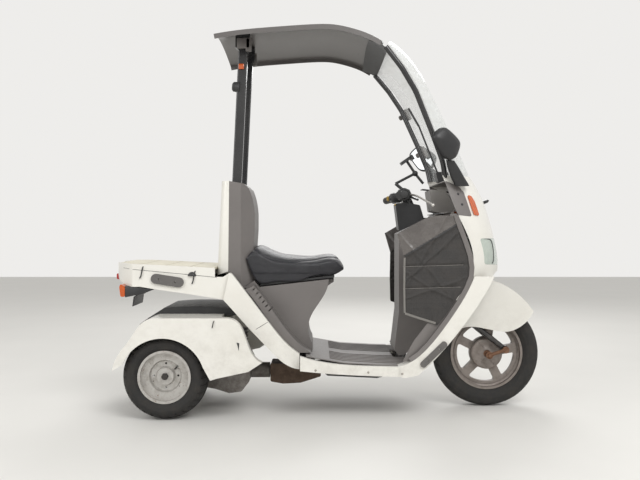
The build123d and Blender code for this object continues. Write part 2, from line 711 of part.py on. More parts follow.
def screen_section(edge, middle):
    """Bowed section of the screen through its two edges and its middle."""
    (ex, ez, half), (mx, mz) = edge, middle
    length = ((mx - ex) ** 2 + (mz - ez) ** 2) ** 0.5
    tx, tz = (mx - ex) / length * SCREEN_WALL, (mz - ez) / length * SCREEN_WALL
    outer = ThreePointArc((ex, -half, ez), (mx, 0, mz), (ex, half, ez))
    inner = ThreePointArc((ex - tx, -half, ez - tz), (mx - tx, 0, mz - tz), (ex - tx, half, ez - tz))
    return make_face([outer, Line(outer @ 1, inner @ 1), inner, Line(inner @ 0, outer @ 0)])


SCREEN_EDGE = [(244, 1568, 287), (312, 1484, 277), (372, 1389, 262), (444, 1221, 237), (494, 1095, 220),
               (506, 1025 + SEAM, 207)]
SCREEN_MIDDLE = [(272, 1628), (392, 1516), (461, 1397), (545, 1228), (604, 1100), (634, 1025 + SEAM)]
HEADER_EDGE = [(170, 1580, 290), (206, 1569, 287), (240, 1548, 283)]
HEADER_MIDDLE = [(172, 1630), (212, 1609), (256, 1584)]


def windscreen():
    return loft([screen_section(e, m) for e, m in zip(SCREEN_EDGE, SCREEN_MIDDLE)])


def pillar():
    """Right windscreen pillar, just inside the screen's edge."""
    drop = PILLAR_R + SCREEN_WALL + 2
    points = [(x - drop * 0.75, -half + 4, z - drop * 0.7) for x, z, half in SCREEN_EDGE]
    return bent_tube(PILLAR_R, 250, *points) - nose(-SEAM, 60)


def roof():
    """Crowned roof sheet with turned-down edges, swept from the rear to the front."""
    path = Spline((-490, 0, 1604 + ROOF_CROWN), (-380, 0, 1621 + ROOF_CROWN), (-221, 0, 1635 + ROOF_CROWN),
                  (-63, 0, 1645 + ROOF_CROWN), (16, 0, 1644 + ROOF_CROWN), (95, 0, 1629 + ROOF_CROWN),
                  (174, 0, 1603 + ROOF_CROWN), (240, 0, 1568 + ROOF_CROWN))
    start = Plane(origin=path @ 0, x_dir=(0, 1, 0), z_dir=path % 0)
    w, c, f, t = ROOF_HALF, ROOF_CROWN, ROOF_FLANGE, ROOF_WALL
    top = ThreePointArc((-w, -c), (0, 0), (w, -c))
    under = ThreePointArc((w - t, -c - t), (0, -t), (-w + t, -c - t))
    section = make_face([
        top, Polyline((w, -c), (w, -c - f), (w - t, -c - f), (w - t, -c - t)), under,
        Polyline((-w + t, -c - t), (-w + t, -c - f), (-w, -c - f), (-w, -c))])
    return sweep(start * section, path=path)


def roof_header():
    """Dark cross panel that closes the roof's front end inside the screen's top edge."""
    panel = loft([screen_section(e, m) for e, m in zip(HEADER_EDGE, HEADER_MIDDLE)])
    return panel - pillar() - across(pillar())


export(windscreen(), "windscreen")
export(roof_header(), "roof_header")
export(pair(pillar()), "windscreen_pillars")
export(roof(), "roof")


def roof_post():
    """Right roof post: a leaning box tube with a bracket up to the roof sheet."""
    def column(half_long, y_low, y_high, z_low, z_high):
        def middle(z):
            return POST_TOP_X - (POST_TOP_Z - z) * POST_LEAN
        return slab(corners((middle(z_low) - half_long, z_low), (middle(z_low) + half_long, z_low),
                            (middle(z_high) + half_long, z_high), (middle(z_high) - half_long, z_high)),
                    y_low, y_high)
    tube = column(POST_LONG / 2, -POST_Y - POST_WIDE / 2, -POST_Y + POST_WIDE / 2, POST_FOOT_Z, POST_TOP_Z)
    tube = fillet(tube.edges().filter_by(lambda e: e.length > 500), 6)
    bracket = slab(corners((-410, 1592), (-392, 1575), (-362, 1575), (-346, 1592), (-346, 1680),
                           (-410, 1680)),
                   -POST_Y - POST_WIDE / 2 - 3, -POST_Y + POST_WIDE / 2 + 3)
    under_roof = slab(corners((-500, 1700), (-490, 1604 + ROOF_CROWN - 8), (-380, 1621 + ROOF_CROWN - 14.5),
                              (-221, 1635 + ROOF_CROWN - 14.5), (-221, 1700)), -300, 300)
    return tube + (bracket - under_roof)


def wiper():
    """Wiper motor inside the screen's foot, with its arm and blade."""
    foot = COVER_Z + SEAT_GAP
    motor = slab(rounded(8, (482, foot), (470, 1050), (526, 1050), (530, foot)), -95, -30)
    arm = bar((485, -60, 1046), (400, -60, 1260), 4)
    blade = slab(corners((404, 1258), (396, 1256), (350, 1335), (358, 1338)), -66, -56)
    return motor + arm + blade


BACK_SIDE = [(-471, BACK_TOP_Z), (-436, BACK_TOP_Z + 1), (-440, 613), (-490, 596)]


def backrest_cover():
    """White rear half of the backrest: a channel closed at the top."""
    outer = slab(corners(*BACK_SIDE), -BACK_HALF, BACK_HALF)
    outer = fillet(outer.edges().filter_by(lambda e: e.length > 300 and e.center().X < -450), 30)
    room = slab(corners((-466, BACK_TOP_Z - WALL), (-430, BACK_TOP_Z - WALL), (-430, 590), (-485, 590)),
                -BACK_HALF + WALL, BACK_HALF - WALL)
    room = fillet(room.edges().filter_by(lambda e: e.length > 300 and e.center().X < -450), 27)
    return outer - room


def backrest_solid(inset=0.0, room=0.0):
    side = slab(make_face([
        Polyline((-436 - room, BACK_TOP_Z - inset), (-372, 995 - inset), (-354 - inset, 978)),
        Spline((-354 - inset, 978), (-334 - inset, 915), (-328 - inset, 800), (-328 - inset, 573 - room)),
        Polyline((-328 - inset, 573 - room), (-375, 541 - room), (-440 - room, 613 - room),
                 (-436 - room, BACK_TOP_Z - inset)),
    ]), -BACK_HALF, BACK_HALF)
    half = BACK_HALF - inset
    plan = corners((-460, -half), (-385 - inset / 2, -half), (-328 - inset, -BACK_FACE_HALF + inset / 2),
                   (-328 - inset, BACK_FACE_HALF - inset / 2), (-385 - inset / 2, half), (-460, half))
    return side & plan_slab(plan, 480, 1020)


def backrest_front():
    """Grey front half of the backrest, with chamfered corners, around the roof posts."""
    shell = backrest_solid() - backrest_solid(WALL, 30)
    post = roof_post()
    return shell - post - across(post)


def seat_box():
    """Grey box under the seat with a broad side band that carries six slanted vents."""
    body_face = make_face([
        Polyline((-375, 540.5), (-328, 572.5), (-306, SEAT_REST_Z - 34), (-3, SEAT_REST_Z)),
        Spline((-3, SEAT_REST_Z), (-41, 481), (-89, 392), (-92, 366), (-76, 302)),
        Polyline((-76, 302), (-73, 272), (-127, 272)),
        Spline((-127, 272), (-164, 299), (-257, 405), (-359, 540), (-375, 540.5)),
    ])
    outer = slab(body_face, -SEAT_BOX_HALF, SEAT_BOX_HALF)
    room = Pos(-6, 0, -SEAT_TRAY) * slab(body_face, -SEAT_BOX_HALF + WALL, SEAT_BOX_HALF - WALL)
    shell = outer - room - Pos(-12, 0, -30) * room
    band_face = make_face([
        Spline((-359, 540.5), (-257, 405), (-164, 299), (-127, 272)),
        Line((-127, 272), (-80, 272)),
        Spline((-80, 272), (-150, 330), (-235, 440), (-322, 556)),
        Line((-322, 556), (-359, 540.5)),
    ])
    band = slab(band_face, -SKIRT_HALF + SKIRT_DEPTH, SKIRT_HALF - SKIRT_DEPTH)
    band_half = SKIRT_HALF - SKIRT_DEPTH - WALL
    band -= Pos(-10, 0, -10) * slab(band_face, -band_half, band_half)
    band -= slab(body_face, -SEAT_BOX_HALF + 1, SEAT_BOX_HALF - 1)
    shell = shell + band + bar((HINGE_X, -HINGE_Y - EAR_HALF - LUG_WIDE, HINGE_Z),
                               (HINGE_X, HINGE_Y + EAR_HALF + LUG_WIDE, HINGE_Z), HINGE_PIN_R)
    lug = corners((-16, 570), (HINGE_X, HINGE_Z + HINGE_EYE_R), (HINGE_X + HINGE_EYE_R, HINGE_Z),
                  (HINGE_X, HINGE_Z - HINGE_EYE_R), (-24, 530))
    near = HINGE_Y + EAR_HALF + SIDE_GAP
    shell += slab(lug, near, near + LUG_WIDE) + slab(lug, -near - LUG_WIDE, -near)
    for side in (-1, 1):
        shell -= Pos(-160, side * TUBE_Y, 290) * Box(120, 2 * FRAME_TUBE_R + 8, 60)
    for k in range(VENT_COUNT):
        x = VENT_FIRST[0] + k * VENT_STEP[0]
        z = VENT_FIRST[1] + k * VENT_STEP[1]
        slot = Rot(0, -VENT_TILT, 0) * Box(VENT_LONG, 700, VENT_WIDE)
        shell -= Pos(x, 0, z) * slot
    return shell


def deck_solid(inset=0.0, top=0.0):
    side = slab(make_face([
        Polyline((-449, 498 + inset), (-425 - inset, 611), (-452 - inset, 594 + top),
                 (-487 - inset, 594 + top), (DECK_FRONT_X - inset, DECK_FRONT_Z + top),
                 (-900, DECK_TOP_Z + top), (-938 + inset, DECK_TOP_Z - 2 + top)),
        Spline((-938 + inset, DECK_TOP_Z - 2 + top), (TAIL_X + inset, 628), (-935 + inset, 592 + inset),
               (-905, 568 + inset), (-811, 552 + inset)),
        Polyline((-811, 552 + inset), (-744, 541 + inset), (-654, 528 + inset), (-449, 498 + inset)),
    ]), -260, 260)
    plan = make_face([
        Polyline((-400, 232 - inset), (-612, DECK_HALF - inset), (-840, DECK_HALF - inset)),
        ThreePointArc((-840, DECK_HALF - inset), (TAIL_X + inset, 0), (-840, -DECK_HALF + inset)),
        Polyline((-840, -DECK_HALF + inset), (-612, -DECK_HALF + inset), (-400, -232 + inset),
                 (-400, 232 - inset)),
    ])
    return side & plan_slab(plan, 450, 800)


def deck_shell():
    """White tub under the cargo deck, open at the top."""
    front_mouth = Pos(-440, 0, 590) * Box(110, 2 * (BACK_HALF + 4), 120)
    ledge = deck_layer(TAIL_X, BOARD_FRONT_X, BOARD_THICK + SEAM, WALL, 1)
    ledge -= deck_solid(LEDGE_WIDE, 80)
    return deck_solid() - deck_solid(WALL, 60) + ledge - front_mouth


def deck_layer(x_low, x_high, under, thick, inset):
    """Part of a layer that follows the slope of the boards, cut to the tub's plan."""
    face = corners((x_low, board_z(x_low) - under - thick), (x_high, board_z(x_high) - under - thick),
                   (x_high, board_z(x_high) - under), (x_low, board_z(x_low) - under))
    return slab(face, -SKIRT_HALF, SKIRT_HALF) & deck_solid(inset, 80)


def deck_boards():
    """Cream boards across the tub, with narrow gaps and two bolt holes for a box."""
    boards = []
    for k in range(BOARD_COUNT):
        x_high = BOARD_FRONT_X - k * (BOARD_LONG + BOARD_GAP)
        board = deck_layer(x_high - BOARD_LONG, x_high, 0, BOARD_THICK, WALL + SEAM)
        if k == BOLT_BOARD:
            x = x_high - BOARD_LONG / 2
            for side in (-1, 1):
                board -= bar((x - 30 * DECK_RISE, side * BOX_BOLT_Y, board_z(x) - 30),
                             (x + 30 * DECK_RISE, side * BOX_BOLT_Y, board_z(x) + 30), BOX_BOLT_R)
        boards += board.solids()
    return Compound(boards)


def pad_face(length, width):
    """Rounded pad with a screw hole towards each end."""
    holes = Locations((-PAD_HOLE_STEP / 2, 0), (PAD_HOLE_STEP / 2, 0)) * Circle(PAD_HOLE_R)
    return SlotOverall(length, width) - holes


def bumper_pad():
    """Right rear bumper pad on the side of the deck tub."""
    return Pos(-690, -DECK_HALF, 578) * Rot(90, 0, 0) * Rot(0, 0, -9) * extrude(pad_face(140, 42), 10)


export(pair(roof_post()), "roof_posts")
export(wiper(), "wiper")
export(backrest_cover(), "backrest_cover")
export(backrest_front(), "backrest_front")
export(seat_box(), "seat_box")
export(deck_shell(), "deck_shell")
export(deck_boards(), "deck_boards")


def front_pad():
    """Right front bumper pad, a rounded rubber bar on the cowl's arm."""
    return Pos(430, -ARM_OUT, 277) * Rot(90, 0, 0) * Rot(0, 0, PAD_SLOPE) * extrude(pad_face(144, 26), 8)


export(Compound(list(pair(bumper_pad()).solids()) + list(pair(front_pad()).solids())), "bumper_pads")


def tail_lamp():
    return slab(rounded(6, (-946, 574), (-946, 600), (-918, 600), (-918, 574)), -70, 70) - deck_solid()


def plate_bracket():
    """Bent flap below the tail that carries the blank plate."""
    return slab(corners((-792, 548.5), (-866, 497), (-872, 455), (-868, 455), (-862, 494), (-784, 547.2)),
                -90, 90)


def side_mirror():
    """Right mirror: head on a stalk out of a rubber boot on the cowl."""
    boot = loft([Pos(560, -222, 985) * Rot(0, -20, 0) * RectangleRounded(62, 40, 12),
                 Pos(505, -262, 1086) * Rot(0, -20, 0) * RectangleRounded(40, 34, 12)])
    head = Pos(478, -318, 1152) * Rot(0, -8, 0) * Rot(0, 0, 32) * (
        fillet(Box(44, 130, 110).edges().filter_by(Axis.X), 26))
    stalk = bar((505, -262, 1080), (485, -300, 1125), 8)
    return (boot - nose(-PANEL_PROUD - SEAM, 60)) + stalk + head


export(Compound(list(pair(indicator()).solids()) + list(pair(rear_indicator()).solids())), "indicators")
export(tail_lamp(), "tail_lamp")
export(plate_bracket(), "plate_bracket")
export(pair(side_mirror()), "mirrors")


# Seat

def seat_section(x, low, edge, top, half):
    """Cross-section of the cushion: flat below, rounded over the top."""
    face = make_face([
        Line((-half + 8, low), (half - 8, low)),
        Line((half - 8, low), (half, edge)),
        Spline((half, edge), (half * 0.72, top - 4), (0, top), (-half * 0.72, top - 4), (-half, edge)),
        Line((-half, edge), (-half + 8, low)),
    ])
    return Plane((x, 0, 0), x_dir=(0, 1, 0), z_dir=(1, 0, 0)) * face


def rest_z(x):
    """Height of the seat box's top under the seat."""
    return SEAT_REST_Z + (x + 3) * 34 / 303


def rest_point(x, y, lift):
    """Point at a distance square above the seat box's sloping top."""
    slope = atan2(34, 303)
    return (x - lift * sin(slope), y, rest_z(x) + lift * cos(slope))


def seat_cushion():
    cushion = loft([
        seat_section(-366, 655, 672, 694, 146),
        seat_section(-340, 606, 686, 712, 150),
        seat_section(-306, 562, 690, 718, 150),
        seat_section(-265, rest_z(-265) + SEAT_LIFT, 668, 700, 150),
        seat_section(-200, rest_z(-200) + SEAT_LIFT, 648, 678, 150),
        seat_section(-110, rest_z(-110) + SEAT_LIFT, 642, 670, 147),
        seat_section(5, rest_z(5) + SEAT_LIFT + 4, 652, 679, 132),
        seat_section(45, 608, 636, 658, 118),
        seat_section(64, 616, 622, 630, 104),
    ])
    return cushion - grown_back() - base_plate(SEAM)


def base_plate(grow=0.0):
    low, high = SEAT_LIFT - SEAT_BASE, SEAT_LIFT + 2
    return slab(corners((-300 - grow, rest_z(-300) + low - grow), (22 + grow, rest_z(22) + low - grow),
                        (22 + grow, rest_z(22) + high + grow), (-300 - grow, rest_z(-300) + high + grow)),
                -SEAT_BOX_HALF + 10 - grow, SEAT_BOX_HALF - 10 + grow)


def grown_back():
    """The backrest's lower part grown by the gap that lets the seat swing up."""
    gap = SEAT_BACK_GAP
    plan = corners((-500, -BACK_HALF - gap), (-383, -BACK_HALF - gap),
                   (-328 + gap, -BACK_FACE_HALF - gap * 0.6),
                   (-328 + gap, BACK_FACE_HALF + gap * 0.6), (-383, BACK_HALF + gap), (-500, BACK_HALF + gap))
    return plan_slab(plan, 400, 900)


def seat_base():
    """Hard base under the cushion with two hinge ears at the nose and two stops behind."""
    plate = base_plate()
    low = SEAT_LIFT - SEAT_BASE
    r = HINGE_EYE_R
    for side in (-1, 1):
        y_low, y_high = side * HINGE_Y - EAR_HALF, side * HINGE_Y + EAR_HALF
        plate += slab(corners((HINGE_X - r, HINGE_Z), (HINGE_X + r, HINGE_Z),
                              (HINGE_X + r, rest_z(20) + low + 1), (HINGE_X - r, rest_z(4) + low + 1)),
                      y_low, y_high)
        plate += bar((HINGE_X, y_low, HINGE_Z), (HINGE_X, y_high, HINGE_Z), r)
        plate += bar(rest_point(STOP_X, side * STOP_Y, SEAM), rest_point(STOP_X, side * STOP_Y, low + 1),
                     STOP_R)
    bore = bar((HINGE_X, -BACK_HALF, HINGE_Z), (HINGE_X, BACK_HALF, HINGE_Z), HINGE_PIN_R + RUNNING_GAP)
    return plate - bore


export(seat_cushion(), "seat_cushion")
export(seat_base(), "seat_base")


# Steering

def fork():
    """Stem, crown and two bent legs down to the link pivots."""
    shape = bar(steer_point(CROWN_Z - 12), steer_point(BAR_Z - 14), STEM_R)
    crown_x = axis_x(CROWN_Z)
    shape += bar((crown_x, -LEG_Y, CROWN_Z), (crown_x, LEG_Y, CROWN_Z), 17)
    for side in (-1, 1):
        y = side * LEG_Y
        shape += bent_tube(LEG_R, 60, (crown_x, y, CROWN_Z), (655, y, 365), (LINK_X, y, LINK_Z))
        shape += bar((LINK_X, y - 12, LINK_Z), (LINK_X, y + 12, LINK_Z), 17)
        shape += bar((596, y, 450), (596, side * (FENDER_HALF - WALL - SEAT_GAP), 450), 9)
    shape -= bar((LINK_X, -120, LINK_Z), (LINK_X, 120, LINK_Z), LINK_PIN_R + RUNNING_GAP)
    return shape


def fork_links():
    """Trailing links from the fork's feet back to the axle, with the axle and brake panel."""
    x, z = FRONT_AXLE_X, FRONT_AXLE_Z
    shape = bar((x, -AXLE_HALF, z), (x, AXLE_HALF, z), FRONT_AXLE_R)
    for side in (-1, 1):
        y = side * LINK_Y
        shape += bar((LINK_X, side * (LEG_Y - 16), LINK_Z), (LINK_X, side * (LINK_Y + 6), LINK_Z), LINK_PIN_R)
        shape += bar((x, y, z), (LINK_X, y, LINK_Z), 8)
        shape += bar((LINK_X, y - 5, LINK_Z), (LINK_X, y + 5, LINK_Z), 15)
        shape += bar((x, y - 5, z), (x, y + 5, z), 16)
    shape += bar((x, -FRONT_HUB_HALF - 13, z), (x, -FRONT_HUB_HALF - SIDE_GAP, z), FRONT_HUB_R + 2)
    return shape


def handlebar():
    """Swept-back bar with switch housings and two brake levers."""
    clamp = steer_point(BAR_Z - 6)
    shape = bar((clamp[0], -60, clamp[2]), (clamp[0], 60, clamp[2]), BAR_R)
    for side in (-1, 1):
        shape += bent_tube(BAR_R, 24, (clamp[0], side * 40, clamp[2]),
                           (clamp[0] + 2, side * 110, clamp[2] + 14),
                           (BAR_ELBOW[0], side * BAR_ELBOW[1], BAR_ELBOW[2]),
                           (BAR_END_X, side * BAR_HALF, BAR_Z))
        shape += bar((334, side * 140, BAR_Z + 10), (326, side * 172, BAR_Z + 9), 22)
        shape += bar((345, side * 165, BAR_Z), (368, side * 262, BAR_Z - 18), 5)
        shape += bar((328, side * 164, BAR_Z + 8), (345, side * 165, BAR_Z), 9)
    shape += bar(steer_point(BAR_Z - 60), steer_point(BAR_Z + 8), COLUMN_R)
    bore = bar(steer_point(BAR_Z - 70), steer_point(BAR_Z - 13), STEM_R + SEAM)
    return shape - bore


def grip():
    """Right grip around the end of the bar."""
    elbow = Vector(*BAR_ELBOW[:1], -BAR_ELBOW[1], BAR_ELBOW[2])
    end = Vector(BAR_END_X, -BAR_HALF, BAR_Z)
    start = end + (elbow - end).normalized() * (GRIP_LENGTH - 6)
    direction = (end - start).normalized()
    outer = bar(tuple(start), tuple(end + direction * 6), GRIP_R)
    return outer - bar(tuple(start - direction * 20), tuple(end + direction * 0.5), BAR_R + SEAM)


def handlebar_shroud():
    """Housing around the steering column, its foot square to the steering axis."""
    rise = tan(radians(CASTER))
    outline = rounded(8, (298, 912), (314, SHROUD_LOW_Z + 6 * rise), (428, SHROUD_LOW_Z + 120 * rise),
                      (408, 905), (345, 917))
    shape = slab(outline, -SHROUD_HALF, SHROUD_HALF)
    return shape - bar(steer_point(740), steer_point(BAR_Z + 30), COLUMN_R + SEAM)


def phone_holder():
    """Clamp, arm and ball-jointed cradle for a phone on the bar."""
    y = PHONE_Y
    joint = (388, y, 1048)
    clamp = steer_point(BAR_Z - 6)
    shape = bar((clamp[0], y - 8, clamp[2]), (clamp[0], y + 8, clamp[2]), BAR_R + 3.2)
    shape += bar((clamp[0], y, clamp[2] + BAR_R), (356, y, 958), 7)
    shape += bar((356, y, 954), (300, y, 1002), 7) + bar((300, y, 1002), joint, 6) + Pos(*joint) * Sphere(13)
    shape += bar((425, y, 1002), joint, 6) + bar(joint, (352, y, 1102), 6)
    shape += Pos(350, y, 1108) * Rot(0, -35, 0) * Box(62, 50, 14)
    shape += Pos(372, y, 1118) * Rot(0, -35, 0) * Box(12, 60, 22)
    return shape - bar((clamp[0], y - 40, clamp[2]), (clamp[0], y + 40, clamp[2]), BAR_R + SEAM)


def front_fender():
    """Mudguard over the front wheel, with side skirts, open below and behind."""
    def outline(inset):
        return make_face([
            Spline((596, 571 - inset), (665, 578 - inset), (747, 562 - inset), (837, 509 - inset),
                   (906 - inset, 432)),
            Line((906 - inset, 432), (894 - inset, 408)),
            Spline((894 - inset, 408), (850, 366), (805, 345), (720, 350), (584, 356)),
            Polyline((584, 356), (566, 470), (596, 571 - inset)),
        ])
    outer = slab(outline(0), -FENDER_HALF, FENDER_HALF)
    inner = slab(outline(WALL), -FENDER_HALF + WALL, FENDER_HALF - WALL)
    return outer - inner - Pos(-30, 0, -12) * inner - Pos(0, 0, -20) * inner


export(fork(), "fork")
export(fork_links(), "fork_links")
export(handlebar(), "handlebar")
export(pair(grip()), "grips")
export(handlebar_shroud(), "handlebar_shroud")
export(phone_holder(), "phone_holder")
export(front_fender(), "front_fender")
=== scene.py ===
from math import atan2, cos, hypot, pi, radians, sin, tau

import bmesh
import bpy
from mathutils import Matrix, Vector, noise
from mathutils.bvhtree import BVHTree


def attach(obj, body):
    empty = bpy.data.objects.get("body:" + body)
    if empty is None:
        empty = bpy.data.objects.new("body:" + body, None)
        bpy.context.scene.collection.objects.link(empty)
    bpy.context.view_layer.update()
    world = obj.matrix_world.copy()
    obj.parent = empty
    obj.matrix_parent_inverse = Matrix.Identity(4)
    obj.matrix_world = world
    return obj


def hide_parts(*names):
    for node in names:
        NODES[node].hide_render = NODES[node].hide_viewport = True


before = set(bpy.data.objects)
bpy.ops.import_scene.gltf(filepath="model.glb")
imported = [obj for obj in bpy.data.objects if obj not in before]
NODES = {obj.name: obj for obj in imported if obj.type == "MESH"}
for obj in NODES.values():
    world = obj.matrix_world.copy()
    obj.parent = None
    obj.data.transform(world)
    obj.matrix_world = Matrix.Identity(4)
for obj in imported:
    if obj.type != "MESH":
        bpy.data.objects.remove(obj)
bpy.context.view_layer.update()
PHOTO_WIDTH = 640
RIGHT, LEFT = -1, 1
HAND = {RIGHT: "right", LEFT: "left"}

# Places and sizes shared by several pieces, in millimetres, as the solids have them
FRONT_AXLE = (709.5, 0, 238)
REAR_AXLE_X, REAR_AXLE_Y, REAR_AXLE_Z = -690, 235, 180


# Materials

class Level:
    """A number or colour that changes over a surface; sums on it add Math nodes."""

    def __init__(self, finish, socket):
        self.finish, self.socket = finish, socket

    def math(self, operation, first, second=0.0):
        return self.finish.node("ShaderNodeMath", {"operation": operation}, {0: first, 1: second})

    def __add__(self, other):
        return self.math("ADD", self, other)

    def __radd__(self, other):
        return self.math("ADD", other, self)

    def __sub__(self, other):
        return self.math("SUBTRACT", self, other)

    def __rsub__(self, other):
        return self.math("SUBTRACT", other, self)

    def __mul__(self, other):
        return self.math("MULTIPLY", self, other)

    def __rmul__(self, other):
        return self.math("MULTIPLY", other, self)

    def span(self, low, high):
        """0 at low, 1 at high, held between."""
        return self.finish.node("ShaderNodeMapRange", {}, {"Value": self, "From Min": low, "From Max": high})

    def wave(self, length):
        """A sine along the value, from -1 to 1, that repeats at a length."""
        return self.math("SINE", self * (tau / length))


class Finish:
    """A material under way, with the patterns that the finishes below are built from."""

    def __init__(self, name):
        self.material = bpy.data.materials.new(name)
        self.material.use_nodes = True
        self.tree = self.material.node_tree
        self.tree.nodes.clear()
        self.place = self.node("ShaderNodeTexCoord", output="Object")

    def node(self, kind, settings=None, inputs=None, output=0):
        made = self.tree.nodes.new(kind)
        for name, value in (settings or {}).items():
            setattr(made, name, value)
        for name, value in (inputs or {}).items():
            if isinstance(value, Level):
                self.tree.links.new(value.socket, made.inputs[name])
            else:
                made.inputs[name].default_value = value
        return Level(self, made.outputs[output]) if made.outputs else None

    def mottle(self, scale, detail=3.0, roughness=0.55, stretch=(1, 1, 1)):
        at = self.node("ShaderNodeMapping", {}, {"Vector": self.place, "Scale": stretch})
        return self.node("ShaderNodeTexNoise", {}, {"Vector": at, "Scale": scale, "Detail": detail,
                                                    "Roughness": roughness})

    def cells(self, scale, stretch=(1, 1, 1), feature="F1"):
        at = self.node("ShaderNodeMapping", {}, {"Vector": self.place, "Scale": stretch})
        return self.node("ShaderNodeTexVoronoi", {"feature": feature}, {"Vector": at, "Scale": scale})

    def along(self, axis):
        return self.node("ShaderNodeSeparateXYZ", {}, {0: self.place}, output=axis)

    def mixed(self, share, first, second):
        return self.node("ShaderNodeMix", {"data_type": "RGBA"}, {0: share, 6: first, 7: second}, output=2)

    def bumped(self, height, depth):
        return self.node("ShaderNodeBump", {}, {"Height": height, "Distance": depth, "Strength": 1.0})

    def shade(self, **sockets):
        """Ends the material in a Principled shader; names are given with _ for spaces."""
        named = {name.replace("_", " "): value for name, value in sockets.items()}
        shader = self.node("ShaderNodeBsdfPrincipled", {}, named)
        self.node("ShaderNodeOutputMaterial", {}, {0: shader})
        return self.material


def tint(red, green, blue):
    return (red, green, blue, 1.0)


ROAD_DUST = tint(0.27, 0.235, 0.19)


def moulded(name, base, worn, rough, grain, grain_depth, dirt=0.5, coat=0.0, dust=ROAD_DUST, low=0.0, high=0.55):
    """Moulded or painted panel: broad tone shifts, scuffs, fine grain and road dirt low down."""
    f = Finish(name)
    cloud = f.mottle(5.0, 4.0, 0.6).span(0.35, 0.7)
    fleck = f.mottle(60.0, 6.0, 0.7)
    scuff = f.mottle(38.0, 5.0, 0.65, (1.0, 1.0, 3.2)).span(0.62, 0.78)
    splash = f.along(2).span(high, low) * f.mottle(22.0, 6.0, 0.72).span(0.42, 0.72) * dirt
    colour = f.mixed(cloud * 0.35, base, worn)
    colour = f.mixed(scuff * 0.3, colour, worn)
    colour = f.mixed(splash, colour, dust)
    normal = f.bumped(f.mottle(grain, 2.0, 0.5) + scuff * 0.25, grain_depth)
    return f.shade(Base_Color=colour, Roughness=rough + (fleck - 0.5) * 0.16 + scuff * 0.12 + splash * 0.35,
                   Normal=normal, Coat_Weight=coat, Coat_Roughness=0.12)


WHITE = moulded("cream_white_panel", tint(0.76, 0.745, 0.695), tint(0.66, 0.635, 0.57), 0.3, 260.0, 0.00012,
                0.42, 0.35)
GREY = moulded("taupe_grain", tint(0.145, 0.133, 0.127), tint(0.205, 0.19, 0.18), 0.5, 1400.0, 0.00035, 0.35,
               dust=tint(0.33, 0.30, 0.26), high=0.4)
ROOF_GREY = moulded("taupe_roof", tint(0.108, 0.1, 0.096), tint(0.135, 0.126, 0.121), 0.3, 700.0, 0.00004,
                    0.0, 0.2)
DASH_GREY = moulded("light_grey_dash", tint(0.30, 0.285, 0.27), tint(0.37, 0.35, 0.33), 0.5, 1400.0, 0.0003, 0.0)
BLACK = moulded("black_moulding", tint(0.017, 0.017, 0.018), tint(0.05, 0.05, 0.05), 0.42, 1200.0, 0.0003, 0.55,
                dust=tint(0.14, 0.125, 0.105), high=0.45)
BLACK_PAINT = moulded("black_paint", tint(0.013, 0.013, 0.014), tint(0.045, 0.043, 0.042), 0.26, 300.0,
                      0.00006, 0.75, 0.3, dust=tint(0.15, 0.125, 0.10), high=0.5)
CREAM = moulded("cream_board", tint(0.66, 0.62, 0.50), tint(0.49, 0.445, 0.34), 0.5, 420.0, 0.0004, 0.0)
PAD = moulded("grey_rubber_pad", tint(0.10, 0.095, 0.092), tint(0.17, 0.16, 0.15), 0.66, 900.0, 0.0004, 0.3)
GRIP = moulded("black_grip", tint(0.016, 0.016, 0.016), tint(0.04, 0.04, 0.04), 0.62, 1500.0, 0.0005, 0.0)


def cast_wheel():
    f = Finish("taupe_cast_wheel")
    pits = f.mottle(900.0, 3.0, 0.6)
    grime = f.mottle(34.0, 6.0, 0.7).span(0.45, 0.72)
    chip = f.cells(150.0).span(0.14, 0.07) * f.mottle(30.0).span(0.5, 0.6)
    colour = f.mixed(grime * 0.55, tint(0.235, 0.205, 0.185), tint(0.115, 0.092, 0.074))
    colour = f.mixed(chip, colour, tint(0.42, 0.39, 0.36))
    return f.shade(Base_Color=colour, Roughness=0.42 + grime * 0.3, Metallic=0.35 + chip * 0.5,
                   Normal=f.bumped(pits + chip * -0.6, 0.0005))


def pressed_wheel():
    f = Finish("silver_pressed_wheel")
    grime = f.mottle(40.0, 6.0, 0.7).span(0.46, 0.74)
    rust = f.mottle(95.0, 5.0, 0.7).span(0.62, 0.72)
    colour = f.mixed(grime * 0.6, tint(0.50, 0.485, 0.46), tint(0.25, 0.22, 0.185))
    colour = f.mixed(rust, colour, tint(0.16, 0.065, 0.028))
    return f.shade(Base_Color=colour, Roughness=0.34 + grime * 0.35 + rust * 0.2, Metallic=0.55 - rust * 0.5,
                   Normal=f.bumped(f.mottle(500.0) + rust * 0.8, 0.0004))


def tyre_rubber():
    f = Finish("worn_tyre")
    dust = f.mottle(26.0, 6.0, 0.72).span(0.4, 0.75)
    cracks = f.cells(320.0, (1, 1, 1), "DISTANCE_TO_EDGE").span(0.06, 0.0)
    colour = f.mixed(dust * 0.55, tint(0.014, 0.0135, 0.013), tint(0.062, 0.054, 0.045))
    return f.shade(Base_Color=colour, Roughness=0.72 + dust * 0.2,
                   Normal=f.bumped(f.mottle(900.0, 3.0, 0.6) + cracks * -0.5, 0.0006))


def dirty_metal(name, base, grime_colour, metal, rough=0.45, share=0.75):
    f = Finish(name)
    grime = f.mottle(28.0, 6.0, 0.75).span(0.36, 0.68)
    casting = f.mottle(620.0, 4.0, 0.7)
    colour = f.mixed(grime * share, base, grime_colour)
    return f.shade(Base_Color=colour, Roughness=rough + grime * 0.35, Metallic=metal - grime * metal * 0.7,
                   Normal=f.bumped(casting + grime * 0.5, 0.0009))


